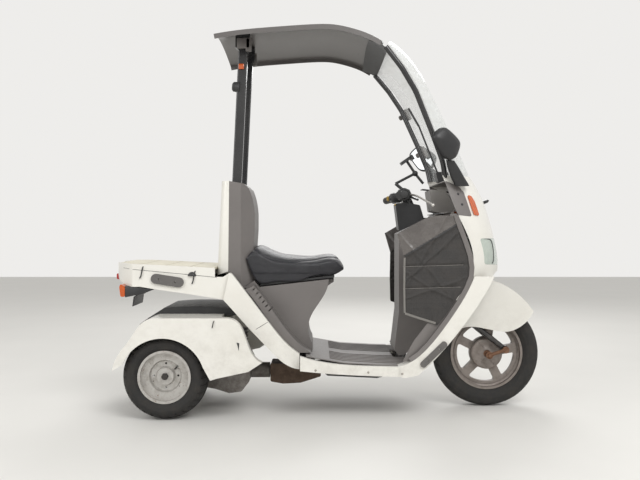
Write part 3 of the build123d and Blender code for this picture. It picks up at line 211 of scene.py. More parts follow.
ALLOY = dirty_metal("dirty_cast_alloy", tint(0.23, 0.215, 0.20), tint(0.07, 0.055, 0.042), 0.7)
JOINT_BROWN = dirty_metal("brown_rusty_case", tint(0.115, 0.075, 0.05), tint(0.06, 0.038, 0.025), 0.3, 0.55)
AXLE_DARK = dirty_metal("dark_axle_casting", tint(0.045, 0.042, 0.04), tint(0.035, 0.028, 0.022), 0.35, 0.5)
RUST = dirty_metal("rusty_link", tint(0.20, 0.105, 0.06), tint(0.10, 0.042, 0.02), 0.35, 0.55)
ZINC = dirty_metal("zinc_screw", tint(0.46, 0.44, 0.40), tint(0.18, 0.14, 0.10), 0.85, 0.3, 0.5)
BRASS = dirty_metal("yellowed_metal", tint(0.52, 0.36, 0.10), tint(0.20, 0.13, 0.05), 0.8, 0.32, 0.5)
POLISHED = dirty_metal("polished_alloy", tint(0.62, 0.60, 0.57), tint(0.36, 0.33, 0.29), 0.9, 0.22, 0.4)


def lens(name, base, deep, flute=0.0):
    """Ribbed lamp lens with a clear coat."""
    f = Finish(name)
    ribs = f.along(1).wave(0.0075) * flute + f.mottle(240.0) * 0.3
    haze = f.mottle(16.0, 5.0, 0.6).span(0.4, 0.75)
    return f.shade(Base_Color=f.mixed(haze * 0.5 + ribs * 0.12, base, deep), Roughness=0.09 + haze * 0.12,
                   Normal=f.bumped(ribs, 0.0007), Coat_Weight=0.8, Coat_Roughness=0.05)


AMBER = lens("amber_lens", tint(0.58, 0.098, 0.006), tint(0.34, 0.045, 0.003), 1.0)
RED = lens("red_lens", tint(0.42, 0.012, 0.01), tint(0.22, 0.005, 0.005), 1.0)
HEADLAMP = lens("headlamp_glass", tint(0.47, 0.53, 0.47), tint(0.30, 0.35, 0.31), 1.0)


def screen_sheet():
    f = Finish("clear_screen")
    rim = f.node("ShaderNodeLayerWeight", {}, {"Blend": 0.35}, output="Facing")
    streak = f.mottle(9.0, 5.0, 0.7, (1, 1, 5)).span(0.45, 0.8)
    scratch = f.mottle(80.0, 6.0, 0.8, (1, 6, 1)).span(0.62, 0.8)
    return f.shade(Base_Color=f.mixed(streak, tint(0.86, 0.88, 0.87), tint(0.72, 0.72, 0.69)),
                   Roughness=0.05 + scratch * 0.2, Alpha=0.13 + rim * 0.55 + streak * 0.05 + scratch * 0.05,
                   Normal=f.bumped(scratch, 0.00005))


def seat_vinyl():
    f = Finish("black_seat_vinyl")
    pores = f.cells(760.0, (1, 1, 1), "DISTANCE_TO_EDGE").span(0.0, 0.16)
    crush = f.mottle(46.0, 5.0, 0.6)
    wear = f.mottle(12.0, 5.0, 0.6).span(0.5, 0.78)
    dust = f.mottle(85.0, 6.0, 0.75).span(0.58, 0.8)
    colour = f.mixed(wear * 0.5, tint(0.013, 0.013, 0.017), tint(0.034, 0.033, 0.038))
    colour = f.mixed(dust * 0.35, colour, tint(0.11, 0.105, 0.10))
    return f.shade(Base_Color=colour, Roughness=0.24 + crush * 0.14 + dust * 0.2,
                   Normal=f.bumped(pores * 0.6 + crush * 1.2, 0.0005), Coat_Weight=0.12)


def mesh_cloth():
    """Coated mesh: a fine open grid over dark cloth, with dust in its folds."""
    f = Finish("coated_mesh_cloth")
    grid = f.along(0).wave(0.0034) * f.along(2).wave(0.0034)
    ripstop = (f.along(0).wave(0.021).span(0.86, 0.97) + f.along(2).wave(0.021).span(0.86, 0.97)) * 0.6
    dust = f.mottle(14.0, 6.0, 0.7).span(0.42, 0.72)
    colour = f.mixed(grid.span(-0.2, 0.9) * 0.6, tint(0.018, 0.0165, 0.0155), tint(0.046, 0.041, 0.038))
    colour = f.mixed(dust * 0.26, colour, tint(0.125, 0.11, 0.10))
    return f.shade(Base_Color=colour, Roughness=0.5 + dust * 0.25, Normal=f.bumped(grid * 0.5 + ripstop, 0.0006))


def clear_vinyl():
    f = Finish("grey_clear_vinyl")
    ripple = f.mottle(26.0, 5.0, 0.6)
    cloud = f.mottle(7.0, 4.0, 0.6).span(0.4, 0.75)
    return f.shade(Base_Color=f.mixed(cloud, tint(0.098, 0.088, 0.082), tint(0.18, 0.165, 0.152)),
                   Roughness=0.2 + ripple * 0.15, Alpha=0.9 - cloud * 0.12, Normal=f.bumped(ripple, 0.003),
                   Coat_Weight=0.4)


def webbing():
    f = Finish("light_webbing")
    weave = f.along(0).wave(0.0026) + f.along(2).wave(0.0026)
    return f.shade(Base_Color=f.mixed(weave.span(-1.5, 1.5), tint(0.20, 0.19, 0.175), tint(0.33, 0.315, 0.29)),
                   Roughness=0.75 + weave * 0.05, Normal=f.bumped(weave, 0.0005))


def mirror_glass():
    f = Finish("mirror_glass")
    smear = f.mottle(24.0, 5.0, 0.7).span(0.5, 0.8)
    return f.shade(Base_Color=f.mixed(smear, tint(0.30, 0.31, 0.315), tint(0.24, 0.245, 0.245)), Metallic=1.0,
                   Roughness=0.03 + smear * 0.14)


SCREEN, VINYL, MESH, CLEAR = screen_sheet(), seat_vinyl(), mesh_cloth(), clear_vinyl()
STRAP, GLASS, CAST, PRESSED, TYRE = webbing(), mirror_glass(), cast_wheel(), pressed_wheel(), tyre_rubber()

NODE_FINISH = {
    WHITE: ("rear_fender_right", "rear_fender_left", "floor_rails", "side_skirts", "front_cowl", "backrest_cover",
            "deck_shell", "front_fender"),
    GREY: ("floorboard", "leg_shield", "cowl_side_panels", "backrest_front", "seat_box"),
    DASH_GREY: ("dash_panel",),
    ROOF_GREY: ("roof",),
    BLACK: ("engine_cover", "undercover", "mirrors", "wiper", "plate_bracket", "seat_base", "handlebar_shroud",
            "phone_holder", "roof_header"),
    BLACK_PAINT: ("frame", "windscreen_pillars", "roof_posts", "fork", "handlebar"),
    CREAM: ("deck_boards",),
    PAD: ("bumper_pads",),
    GRIP: ("grips",),
    SCREEN: ("windscreen",),
    HEADLAMP: ("headlamps",),
    AMBER: ("indicators",),
    RED: ("tail_lamp",),
    VINYL: ("seat_cushion",),
    MESH: ("leg_cover_right", "leg_cover_left"),
    ALLOY: ("engine_case",),
    JOINT_BROWN: ("joint_case",),
    AXLE_DARK: ("rear_axle",),
    RUST: ("fork_links",),
    CAST: ("front_rim",),
    PRESSED: ("rear_rim_right", "rear_rim_left"),
    TYRE: ("front_tyre", "rear_tyre_right", "rear_tyre_left"),
}
for finish, names in NODE_FINISH.items():
    for name in names:
        NODES[name].data.materials.clear()
        NODES[name].data.materials.append(finish)


# Ways of making a piece

WELD = 1e-6


def millimetres(*lengths):
    return Vector([length / 1000 for length in lengths])


def finished(shape, name, finish, body, replaces=(), crease=34):
    """Ends a bmesh as an object that rides on a body; finish is one material or several."""
    bmesh.ops.remove_doubles(shape, verts=shape.verts, dist=WELD)
    bmesh.ops.recalc_face_normals(shape, faces=shape.faces)
    for edge in shape.edges:
        edge.smooth = len(edge.link_faces) == 2 and edge.calc_face_angle(0.0) < radians(crease)
    for face in shape.faces:
        face.smooth = True
    mesh = bpy.data.meshes.new(name)
    shape.to_mesh(mesh)
    shape.free()
    for material in finish if isinstance(finish, (list, tuple)) else [finish]:
        mesh.materials.append(material)
    made = bpy.data.objects.new(name, mesh)
    bpy.context.scene.collection.objects.link(made)
    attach(made, body)
    if replaces:
        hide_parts(*replaces)
    return made


def placed(shape, old, place):
    """Moves what was added to a bmesh since old was noted."""
    bmesh.ops.transform(shape, matrix=place, verts=[v for v in shape.verts if v not in old])


def frame_at(at, towards=(0, 0, 1), turn=0.0):
    """A place at a point in millimetres whose own Z looks along a direction."""
    aim = Vector(towards).to_track_quat("Z", "Y").to_matrix().to_4x4()
    return Matrix.Translation(millimetres(*at)) @ aim @ Matrix.Rotation(turn, 4, "Z")


def turned(shape, profile, place, steps=32):
    """Spins a profile of radius and height in millimetres about a place's Z."""
    old = set(shape.verts)
    points = [shape.verts.new(millimetres(r, 0, h)) for r, h in profile]
    edges = [shape.edges.new(ends) for ends in zip(points, points[1:])]
    bmesh.ops.spin(shape, geom=points + edges, cent=(0, 0, 0), axis=(0, 0, 1), dvec=(0, 0, 0), angle=tau,
                   steps=steps, use_merge=True)
    placed(shape, old, place)


def bevelled(shape, edges, width, segments=2):
    bmesh.ops.bevel(shape, geom=edges, offset=width / 1000, offset_type="OFFSET", segments=segments, profile=0.5,
                    affect="EDGES", material=-1, clamp_overlap=True)


def block(shape, size, place, round_off=1.5):
    """Box of a size in millimetres with rounded edges."""
    old = set(shape.verts)
    verts = bmesh.ops.create_cube(shape, size=1.0)["verts"]
    bmesh.ops.scale(shape, vec=millimetres(*size), verts=verts)
    bevelled(shape, list({edge for v in verts for edge in v.link_edges}), round_off)
    placed(shape, old, place)


def plate(shape, outline, thick, place, round_off=0.0):
    """Sheet from an outline in millimetres in a place's X and Y, thickened along its Z."""
    old = set(shape.verts)
    face = shape.faces.new([shape.verts.new(millimetres(x, y, 0)) for x, y in outline])
    grown = bmesh.ops.extrude_face_region(shape, geom=[face])["geom"]
    lifted = [v for v in grown if isinstance(v, bmesh.types.BMVert)]
    bmesh.ops.translate(shape, vec=millimetres(0, 0, thick), verts=lifted)
    if round_off:
        fresh = {v for v in shape.verts if v not in old}
        bevelled(shape, [e for e in shape.edges if set(e.verts) <= fresh], round_off)
    placed(shape, old, place)


def screw(shape, at, towards, radius=5.0):
    """Pan-head screw with a washer and a cross slot pressed in."""
    place = frame_at(at, towards)
    turned(shape, [(0, 2.6), (radius * 0.55, 2.4), (radius * 0.86, 1.5), (radius, 0.4), (radius * 1.25, 0.3),
                   (radius * 1.25, -0.6)], place, 20)
    for k in range(2):
        block(shape, (radius * 1.1, radius * 0.22, 0.5), place @ Matrix.Translation(millimetres(0, 0, 2.5))
              @ Matrix.Rotation(k * pi / 2, 4, "Z"), 0.1)


def hex_nut(shape, at, towards, across_flats, high):
    turned(shape, [(0, high), (across_flats * 0.42, high), (across_flats * 0.52, high * 0.85),
                   (across_flats * 0.52, 0)], frame_at(at, towards), 6)
    turned(shape, [(0, high + 2.5), (across_flats * 0.24, high + 2.5), (across_flats * 0.24, high - 1)],
           frame_at(at, towards), 16)


def tube(name, points, radius, finish, body, smooth=True):
    """Round bar or line through points in millimetres."""
    curve = bpy.data.curves.new(name, "CURVE")
    curve.dimensions, curve.bevel_depth, curve.bevel_resolution = "3D", radius / 1000, 4
    curve.use_fill_caps = True
    spline = curve.splines.new("NURBS" if smooth else "POLY")
    spline.points.add(len(points) - 1)
    for point, at in zip(spline.points, points):
        point.co = (*millimetres(*at), 1.0)
    if smooth:
        spline.order_u, spline.use_endpoint_u, spline.resolution_u = 3, True, 10
    curve.materials.append(finish)
    made = bpy.data.objects.new(name, curve)
    bpy.context.scene.collection.objects.link(made)
    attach(made, body)
    return made


SURFACES = {}
FAR_OUT = 700


def surface_hit(name, start, direction):
    """Where a line from a point in millimetres first meets a node's or piece's surface."""
    if name not in SURFACES:
        source = NODES[name] if name in NODES else bpy.data.objects[name]
        copy = bmesh.new()
        copy.from_mesh(source.data)
        SURFACES[name] = BVHTree.FromBMesh(copy)
        copy.free()
    at, normal, _, _ = SURFACES[name].ray_cast(millimetres(*start), Vector(direction))
    return (None, None) if at is None else (at * 1000, normal)


def side_hit(name, x, z, side):
    """Point and outward direction on the outside of a node, seen from one side."""
    at, normal = surface_hit(name, (x, side * FAR_OUT, z), (0, -side, 0))
    if normal is not None and normal.y * side < 0:
        normal = -normal
    return at, normal


# Tyres

def arc(start, middle, end, count):
    """Points on the circle through three points, start and end among them."""
    (ax, ay), (bx, by), (cx, cy) = start, middle, end
    d = 2 * (ax * (by - cy) + bx * (cy - ay) + cx * (ay - by))
    ux = ((ax * ax + ay * ay) * (by - cy) + (bx * bx + by * by) * (cy - ay) + (cx * cx + cy * cy) * (ay - by)) / d
    uy = ((ax * ax + ay * ay) * (cx - bx) + (bx * bx + by * by) * (ax - cx) + (cx * cx + cy * cy) * (bx - ax)) / d
    radius = hypot(ax - ux, ay - uy)
    first, mid, last = (atan2(y - uy, x - ux) for x, y in (start, middle, end))
    sweep = (last - first) % tau
    if (mid - first) % tau > sweep:
        sweep -= tau
    return [(ux + radius * cos(first + sweep * k / (count - 1)), uy + radius * sin(first + sweep * k / (count - 1)))
            for k in range(count)]


FRONT_PITCHES, REAR_PITCHES = 36, 30


def front_groove(turn, across):
    """Depth in millimetres of the front tyre's pattern: a zigzag middle and slanted side grooves."""
    zigzag = abs((turn * FRONT_PITCHES) % 1 - 0.5) * 0.34 - 0.085
    if abs(across - zigzag) < 0.055:
        return 3.6
    slant = (turn * FRONT_PITCHES + (0.25 if across > 0 else 0.75) + abs(across) * 0.9) % 1
    return 3.8 if slant < 0.2 and 0.26 < abs(across) < 0.97 else 0.0


def rear_groove(turn, across):
    """Depth in millimetres of the rear tyres' pattern: two rings and staggered cross grooves."""
    if abs(abs(across) - 0.3) < 0.035:
        return 4.6
    step = turn * REAR_PITCHES + (0.5 if abs(across) > 0.3 else 0.0) + across * 0.5
    return 4.2 if step % 1 < 0.18 and abs(across) > 0.06 else 0.0


BEAD_INSET, BEAD_DEPTH = 4.3, 5.5
SHOULDER_SHARE = 0.86
WALL_RINGS, WALL_RING_DEPTH = (3, 6, 7, 11), 0.9


def tyre(node, axle, outer, width, rim_r, rim_w, groove, body):
    """Tyre spun from its section, then cut with its pattern by sinking points of the crown."""
    half, shoulder = width / 2, outer - width * 0.15
    bead = rim_w / 2 - BEAD_INSET
    edge = half * SHOULDER_SHARE
    side = arc((rim_r + 0.3, -bead), ((rim_r + shoulder) / 2 + 4, -half), (shoulder, -edge), 15)
    side = [(r, y + (WALL_RING_DEPTH if k in WALL_RINGS else 0.0)) for k, (r, y) in enumerate(side)]
    crown = arc((shoulder, -edge), (outer, 0), (shoulder, edge), 45)
    profile = side + crown[1:-1] + [(r, -y) for r, y in reversed(side)]
    profile = [(rim_r - BEAD_DEPTH, -bead)] + profile + [(rim_r - BEAD_DEPTH, bead)]
    shape = bmesh.new()
    turned(shape, profile, Matrix.Identity(4), 360)
    tread_from, fade_over = shoulder - 6, 4
    for v in shape.verts:
        r = hypot(v.co.x, v.co.y) * 1000
        if r > tread_from:
            fade = min(1.0, (r - tread_from) / fade_over)
            depth = groove((atan2(v.co.y, v.co.x) / tau) % 1, v.co.z * 1000 / half) * fade
            v.co.x *= 1 - depth / r
            v.co.y *= 1 - depth / r
    place = Matrix.Translation(millimetres(*axle)) @ Matrix.Rotation(-pi / 2, 4, "X")
    bmesh.ops.transform(shape, matrix=place, verts=shape.verts)
    finished(shape, f"{node}_treaded", TYRE, body, (node,), 28)


tyre("front_tyre", FRONT_AXLE, 238, 92, 162, 66, front_groove, "front_wheel")
for side, hand in HAND.items():
    tyre(f"rear_tyre_{hand}", (REAR_AXLE_X, side * REAR_AXLE_Y, REAR_AXLE_Z), 180, 130, 111, 104, rear_groove,
         f"rear_wheel_{hand}")


# Seat cushion

def seat_welt_z(x):
    """Height of the welt along the side of the cushion."""
    stops = [(-345, 712), (-321, 701), (-285, 678), (-248, 663), (-168, 653), (-80, 661), (0, 673), (70, 660)]
    for (x0, z0), (x1, z1) in zip(stops, stops[1:]):
        if x <= x1:
            share = max(0.0, (x - x0) / (x1 - x0))
            return z0 + (z1 - z0) * share * share * (3 - 2 * share)
    return stops[-1][1]


CUSHION_BASE_Z = 605
CREASE_X = -262


def cushion():
    """Padded vinyl cushion: the CAD form remeshed, softened, crowned and pulled in at its welt."""
    source = NODES["seat_cushion"]
    copy = bpy.data.objects.new("cushion_blank", source.data.copy())
    bpy.context.scene.collection.objects.link(copy)
    raw = bmesh.new()
    raw.from_mesh(copy.data)
    bmesh.ops.remove_doubles(raw, verts=raw.verts, dist=1e-5)
    raw.to_mesh(copy.data)
    raw.free()
    remesh = copy.modifiers.new("voxels", "REMESH")
    remesh.mode, remesh.voxel_size = "VOXEL", 0.0048
    bpy.context.view_layer.update()
    mesh = bpy.data.meshes.new_from_object(copy.evaluated_get(bpy.context.evaluated_depsgraph_get()))
    bpy.data.objects.remove(copy)
    shape = bmesh.new()
    shape.from_mesh(mesh)
    for _ in range(7):
        soft = [v for v in shape.verts if v.co.z * 1000 > CUSHION_BASE_Z]
        bmesh.ops.smooth_vert(shape, verts=soft, factor=0.5, use_axis_x=True, use_axis_y=True, use_axis_z=True)
    shape.normal_update()
    for v in shape.verts:
        x, y, z = v.co * 1000
        top = max(0.0, v.normal.z)
        welt = seat_welt_z(x)
        groove = max(0.0, 1 - abs(z - welt) / 9) if abs(y) > 70 or x > 40 else 0.0
        crease = max(0.0, 1 - abs(x - CREASE_X + abs(y) * 0.1) / 13) * top
        pucker = noise.noise(Vector((x * 0.035, y * 0.02, z * 0.05))) * (0.9 - top * 0.5)
        grow = 1.6 + 2.2 * top * (1 - (y / 150) ** 2) + pucker - 3.6 * groove ** 1.5 - 2.6 * crease ** 2
        if z > CUSHION_BASE_Z + 1:
            v.co += v.normal * grow / 1000
    made = finished(shape, "cushion", VINYL, "seat", ("seat_cushion",), 60)
    smooth = made.modifiers.new("finer", "SUBSURF")
    smooth.levels = smooth.render_levels = 1
    return made


cushion()
for side, hand in HAND.items():
    welt = []
    for k in range(23):
        x = -318 + k * 16.5
        at, _ = side_hit("cushion", x, seat_welt_z(x), side)
        if at is not None:
            welt.append((at.x, at.y - side * 0.6, at.z))
    tube(f"cushion_welt_{hand}", welt, 2.3, VINYL, "seat")


# Leg covers

def between(points, share):
    """Point at a share of the way along a broken line."""
    lengths = [hypot(b[0] - a[0], b[1] - a[1]) for a, b in zip(points, points[1:])]
    left = share * sum(lengths)
    for (a, b), length in zip(zip(points, points[1:]), lengths):
        if left <= length or (a, b) == (points[-2], points[-1]):
            part = min(1.0, left / length)
            return Vector((a[0] + (b[0] - a[0]) * part, a[1] + (b[1] - a[1]) * part))
        left -= length


COVER_LEFT = [(309, 442), (306, 560), (308, 680), (280, 777)]
COVER_RIGHT = [(447, 396), (480, 436), (511, 482), (549, 538), (578, 588), (589, 636), (584, 690), (570, 738),
               (548, 794), (522, 852)]
COVER_TOP = [(280, 777), (340, 812), (402, 844), (460, 854), (522, 852)]
COVER_FOOT = [(309, 442), (352, 430), (400, 412), (447, 396)]
COVER_LINES = (643, 551)
COVER_Y = 281
COVER_FOLDS = ((0.9, 300, 4.4), (-0.55, 785, 3.8), (1.7, 20, 3.2), (-1.2, 1120, 3.6), (0.35, 395, 2.8))


def line_z(height, x):
    """Height of an elastic line, which rises a little to the front."""
    return height + (x - 400) * 0.03


def over_seam(x, z, start):
    """How far a place lies above the seam between mesh and clear part."""
    return z - start - (x - 312) * 0.6035


def cover_fold(x, z):
    """How far the cloth stands out, in millimetres: slack, cinched lines, tension folds and creases."""
    fold = 3.2 * sin(pi * min(1.0, max(0.0, (x - 300) / 260))) * sin(pi * min(1.0, max(0.0, (z - 410) / 430)))
    for height in COVER_LINES:
        fold -= 3.6 * max(0.0, 1 - abs(z - line_z(height, x)) / 14) ** 2
    fold += 3.4 * max(0.0, 1 - abs(over_seam(x, z, 680)) / 11) ** 2
    for slope, offset, high in COVER_FOLDS:
        away = abs(z - (offset + slope * x) - 9 * noise.noise(Vector((x * 0.02, z * 0.02, slope))))
        fold += high * max(0.0, 1 - away / (12 * hypot(1, slope))) ** 2
    fold += 2.3 * noise.turbulence(Vector((x * 0.013, z * 0.013, 3.0)), 4, False) - 1.0
    return fold


def leg_cover(side, name):
    """Coated mesh apron with a grey clear upper part, folded and held by two elastic lines."""
    shape = bmesh.new()
    bmesh.ops.create_grid(shape, x_segments=84, y_segments=120, size=0.5)
    for v in shape.verts:
        u, w = v.co.x + 0.5, v.co.y + 0.5
        low, high = between(COVER_FOOT, u), between(COVER_TOP, u)
        near, far = between(COVER_LEFT, w), between(COVER_RIGHT, w)
        flat = ((1 - u) * (1 - w) * Vector(COVER_FOOT[0]) + u * (1 - w) * Vector(COVER_FOOT[-1])
                + (1 - u) * w * Vector(COVER_TOP[0]) + u * w * Vector(COVER_TOP[-1]))
        at = (1 - w) * low + w * high + (1 - u) * near + u * far - flat
        edge = min(1.0, 9 * (1 - u))
        v.co = millimetres(at.x, side * (COVER_Y + cover_fold(at.x, at.y) * edge), at.y)
    shape.faces.ensure_lookup_table()
    for face in shape.faces:
        centre = face.calc_center_median() * 1000
        face.material_index = int(over_seam(centre.x, centre.z, 690) > 0)
    area = sum(face.calc_area() for face in shape.faces)
    made = finished(shape, f"{name}_cloth", [MESH, CLEAR], "front_body", (name,), 80)
    thick = made.modifiers.new("cloth", "SOLIDIFY")
    thick.thickness, thick.offset = 0.0012, 0.0
    for height in COVER_LINES:
        line = []
        for k in range(15):
            x = 304 + k * 18
            z = line_z(height, x)
            line.append((x, side * (COVER_Y + 2.4 + cover_fold(x, z)), z))
        tube(f"{name}_line_{height}", line, 1.1, STRAP, "front_body")
    for label, points, width, stuff in (("spine", [(311, 448), (309, 560), (311, 678)], 8, STRAP),
                                       ("hem", [(312, 446), (378, 424), (440, 405)], 9, STRAP),
                                       ("seam", [(314, 686), (400, 738), (470, 780), (540, 822)], 4, BLACK)):
        strip = bmesh.new()
        rows = []
        count = 26
        for k in range(count + 1):
            at = between(points, k / count)
            after = between(points, min(1.0, k / count + 0.02)) - between(points, max(0.0, k / count - 0.02))
            across = Vector((-after.y, after.x)).normalized() * width / 2
            rows.append([strip.verts.new(millimetres(p.x, side * (COVER_Y + 2 + cover_fold(p.x, p.y)), p.y))
                         for p in (at - across, at, at + across)])
        for before, behind in zip(rows, rows[1:]):
            for j in range(2):
                strip.faces.new((before[j], before[j + 1], behind[j + 1], behind[j]))
        band = finished(strip, f"{name}_{label}", stuff, "front_body", (), 80)
        solid = band.modifiers.new("web", "SOLIDIFY")
        solid.thickness, solid.offset = 0.0014, 0.0


for side, node in ((RIGHT, "leg_cover_right"), (LEFT, "leg_cover_left")):
    leg_cover(side, node)


# Small pieces that the photograph shows

def outer_hit(names, x, z, side):
    """Outermost point of several nodes at a place in side view, with its outward direction."""
    hits = [side_hit(name, x, z, side) for name in names]
    hits = [hit for hit in hits if hit[0] is not None]
    return max(hits, key=lambda hit: hit[0].y * side) if hits else (None, None)


def side_screws(name, node, spots, finish, body, radius=5.0, beside=0.0):
    """Screws on a node's outside, at places in side view; beside reads the surface next to a hole."""
    sunk = 3 if beside else 0
    for side in (RIGHT, LEFT):
        shape = bmesh.new()
        for x, z in spots:
            at, normal = side_hit(node, x + beside, z, side)
            if at is not None:
                screw(shape, (x, at.y - side * sunk, z), normal, radius)
        finished(shape, f"{name}_{HAND[side]}", finish, body)


side_screws("panel_screws", "cowl_side_panels", [(545, 946), (560, 901)], BLACK, "front_body", 4.5)
side_screws("rail_screws", "floor_rails", [(158, 204), (-60, 212)], ZINC, "front_body", 4.0)
side_screws("arm_screw", "front_cowl", [(300, 196)], ZINC, "front_body", 4.0)
side_screws("rear_pad_screws", "bumper_pads", [(-730, 577), (-662, 572)], BLACK, "front_body", 4.2,
            beside=9)
side_screws("board_screws", "deck_boards", [(-835, 640), (-662, 632)], RUST, "front_body", 3.4)
side_screws("roof_bolts", "roof", [(-360, 1662), (-395, 1648), (150, 1652)], ZINC, "front_body", 6.0)
side_screws("header_bolts", "roof_header", [(196, 1600), (214, 1572)], ZINC, "front_body", 6.0)


def rounded(outline, cuts=3):
    """Outline with its corners cut again and again until they are round."""
    for k in range(cuts):
        near = 0.17 if k == 0 else 0.25
        outline = [(a[0] + (b[0] - a[0]) * share, a[1] + (b[1] - a[1]) * share)
                   for a, b in zip(outline, outline[1:] + outline[:1]) for share in (near, 1 - near)]
    return outline


def lofted(shape, sections, place):
    """Closed skin through sections, each an outline in millimetres and its height along a place's Z."""
    old = set(shape.verts)
    rings = [[shape.verts.new(millimetres(x + dx, y, z)) for x, y in outline] for outline, z, dx in sections]
    for low, high in zip(rings, rings[1:]):
        for k in range(len(low)):
            shape.faces.new((low[k - 1], low[k], high[k], high[k - 1]))
    shape.faces.new(rings[0])
    shape.faces.new(rings[-1])
    placed(shape, old, place)


def scaled(outline, share):
    return [(x * share, y * share) for x, y in outline]


MIRROR_OUTLINE = rounded([(-16, 70), (80, 6), (48, -66), (-14, -68), (-80, 20)])
MIRROR_AT, BOOT_AT = (478, -330, 1152), (560, -224, 984)
MIRROR_TURN, BOOT_LEAN = radians(32), radians(19)


def mirror(side):
    """Mirror as the photograph shows it: a slanting five-cornered head, its stalk and a rubber boot."""
    flip = Matrix.Diagonal((1, side * -1, 1, 1))
    head = (flip @ Matrix.Translation(millimetres(*MIRROR_AT)) @ Matrix.Rotation(MIRROR_TURN, 4, "Z")
            @ Matrix.Rotation(pi / 2, 4, "X"))
    shape = bmesh.new()
    lofted(shape, [(scaled(MIRROR_OUTLINE, share), z, 0) for share, z in
                   ((0.93, -17), (1.0, -15), (1.02, -4), (0.97, 6), (0.8, 15), (0.45, 20))], head)
    lofted(shape, [(rounded([(-x, -y), (x, -y), (x, y), (-x, y)]), z, dx) for x, y, z, dx in
                   ((31, 20, 0, 0), (29, 19, 34, -20), (24, 18, 76, -41), (17, 15, 108, -56))],
           flip @ Matrix.Translation(millimetres(*BOOT_AT)) @ Matrix.Rotation(BOOT_LEAN, 4, "X"))
    replaced = ("mirrors",) if side == RIGHT else ()
    finished(shape, f"mirror_{HAND[side]}", BLACK, "front_body", replaced)
    stalk = [(503, side * 260, 1080), (497, side * 280, 1102), (487, side * 318, 1136)]
    tube(f"mirror_stalk_{HAND[side]}", stalk, 8, BLACK_PAINT, "front_body")
    shape = bmesh.new()
    lofted(shape, [(scaled(MIRROR_OUTLINE, share), z, 0) for share, z in
                   ((0.88, -18.2), (0.89, -17.4), (0.89, -16))], head)
    finished(shape, f"mirror_glass_{HAND[side]}", GLASS, "front_body")


def fill_panel(side):
    """Grey inner panel that closes the space between the leg shield and the white arm."""
    outline = [(302, 242), (333, 246), (372, 271), (412, 308), (455, 361), (497, 420), (540, 487), (573, 548),
               (592, 600), (596, 640), (588, 692), (570, 745), (548, 802), (528, 858), (500, 858), (520, 780),
               (540, 700), (546, 640), (520, 560), (470, 480), (420, 420), (350, 330)]
    place = Matrix.Translation(millimetres(0, side * 272, 0)) @ Matrix.Rotation(pi / 2, 4, "X")
    shape = bmesh.new()
    plate(shape, outline, 3, place, 0.8)
    finished(shape, f"inner_panel_{HAND[side]}", GREY, "front_body")


def rail_trim(side):
    """Grey band inside the white arm, over the edge of the leg cover."""
    outer = [(338, 243), (378, 272), (416, 311), (458, 364), (500, 421), (544, 487), (577, 547), (596, 595),
             (600, 637), (592, 690), (574, 745), (550, 808), (533, 858)]
    inner, width = [], 19
    for k, (x, z) in enumerate(outer):
        ahead, behind = outer[min(k + 1, len(outer) - 1)], outer[max(k - 1, 0)]
        along = Vector((ahead[0] - behind[0], ahead[1] - behind[1])).normalized()
        inner.append((x - along.y * width, z + along.x * width))
    shape = bmesh.new()
    face_y, edge_y, back_y = 290.5, 286, 280
    rows = [[shape.verts.new(millimetres(x, y, z)) for (x, z), y in
             ((a, face_y), (b, edge_y), (b, back_y), (a, back_y))] for a, b in zip(outer, inner)]
    for low, high in zip(rows, rows[1:]):
        for j in range(4):
            shape.faces.new((low[j - 1], low[j], high[j], high[j - 1]))
    shape.faces.new(rows[0])
    shape.faces.new(rows[-1])
    placed(shape, set(), Matrix.Diagonal((1, side, 1, 1)))
    finished(shape, f"rail_trim_{HAND[side]}", GREY, "front_body")


def indicator_arm(side):
    """Dark housing that carries the rear indicator's lens."""
    outline = [(-746, 541), (-811, 547), (-872, 554), (-872, 506), (-799, 520)]
    middle_y, wide = 191.5, 49.6
    place = Matrix.Translation(millimetres(0, side * middle_y + wide / 2, 0)) @ Matrix.Rotation(pi / 2, 4, "X")
    shape = bmesh.new()
    plate(shape, outline, wide, place, 3)
    finished(shape, f"indicator_arm_{HAND[side]}", BLACK, "front_body")


POST_Y = 139
LAMP_LENS = [(622, 748), (640, 754), (690, 754), (702, 744), (708, 700), (706, 660), (696, 648), (655, 646),
             (645, 656), (632, 704), (622, 748)]
DRUM_R = 69.8
GRIP_END = (308, 300, 941)
HOUSING_Y = 158
LEVER = [(346, 168, 946), (366, 190, 944), (392, 226, 926), (412, 256, 910), (427, 276, 899)]
DISH_RIVETS = ((-674, 245), (-744, 156), (-631, 139))
VALVE_FOOT, VALVE_TIP = (-655, 205), (-637, 223)
COVERS = ["side_skirts", "seat_box", "deck_shell", "backrest_cover", "backrest_front", "front_cowl", "floor_rails",
          "floorboard"]
SEAMS = (("backrest", (-365, 549), (-320, 577)), ("skirt", (-262, 405), (-311, 375)),
         ("deck", (-889, 630), (-479, 592)))


def post_fittings(side):
    """Grey bracket under the roof, dark strap knob and amber reflector on a roof post."""
    shape = bmesh.new()
    block(shape, (58, 12, 46), Matrix.Translation(millimetres(-374, side * (POST_Y + 3), 1606)), 4)
    block(shape, (26, 16, 60), Matrix.Translation(millimetres(-352, side * (POST_Y + 1), 1600)), 4)
    finished(shape, f"post_bracket_{HAND[side]}", GREY, "front_body")
    shape = bmesh.new()
    turned(shape, [(0, 34), (15, 33), (21, 28), (23, 6), (25, 2), (25, 0), (11, -1), (11, -12)],
           frame_at((-392, side * 122, 1418), (-1, 0, 0.1)), 28)
    finished(shape, f"strap_knob_{HAND[side]}", GREY if side == LEFT else BLACK, "front_body")
    shape = bmesh.new()
    block(shape, (24, 6, 24), Matrix.Translation(millimetres(-384, side * POST_Y, 1506)), 2.5)
    finished(shape, f"post_reflector_{HAND[side]}", AMBER, "front_body")


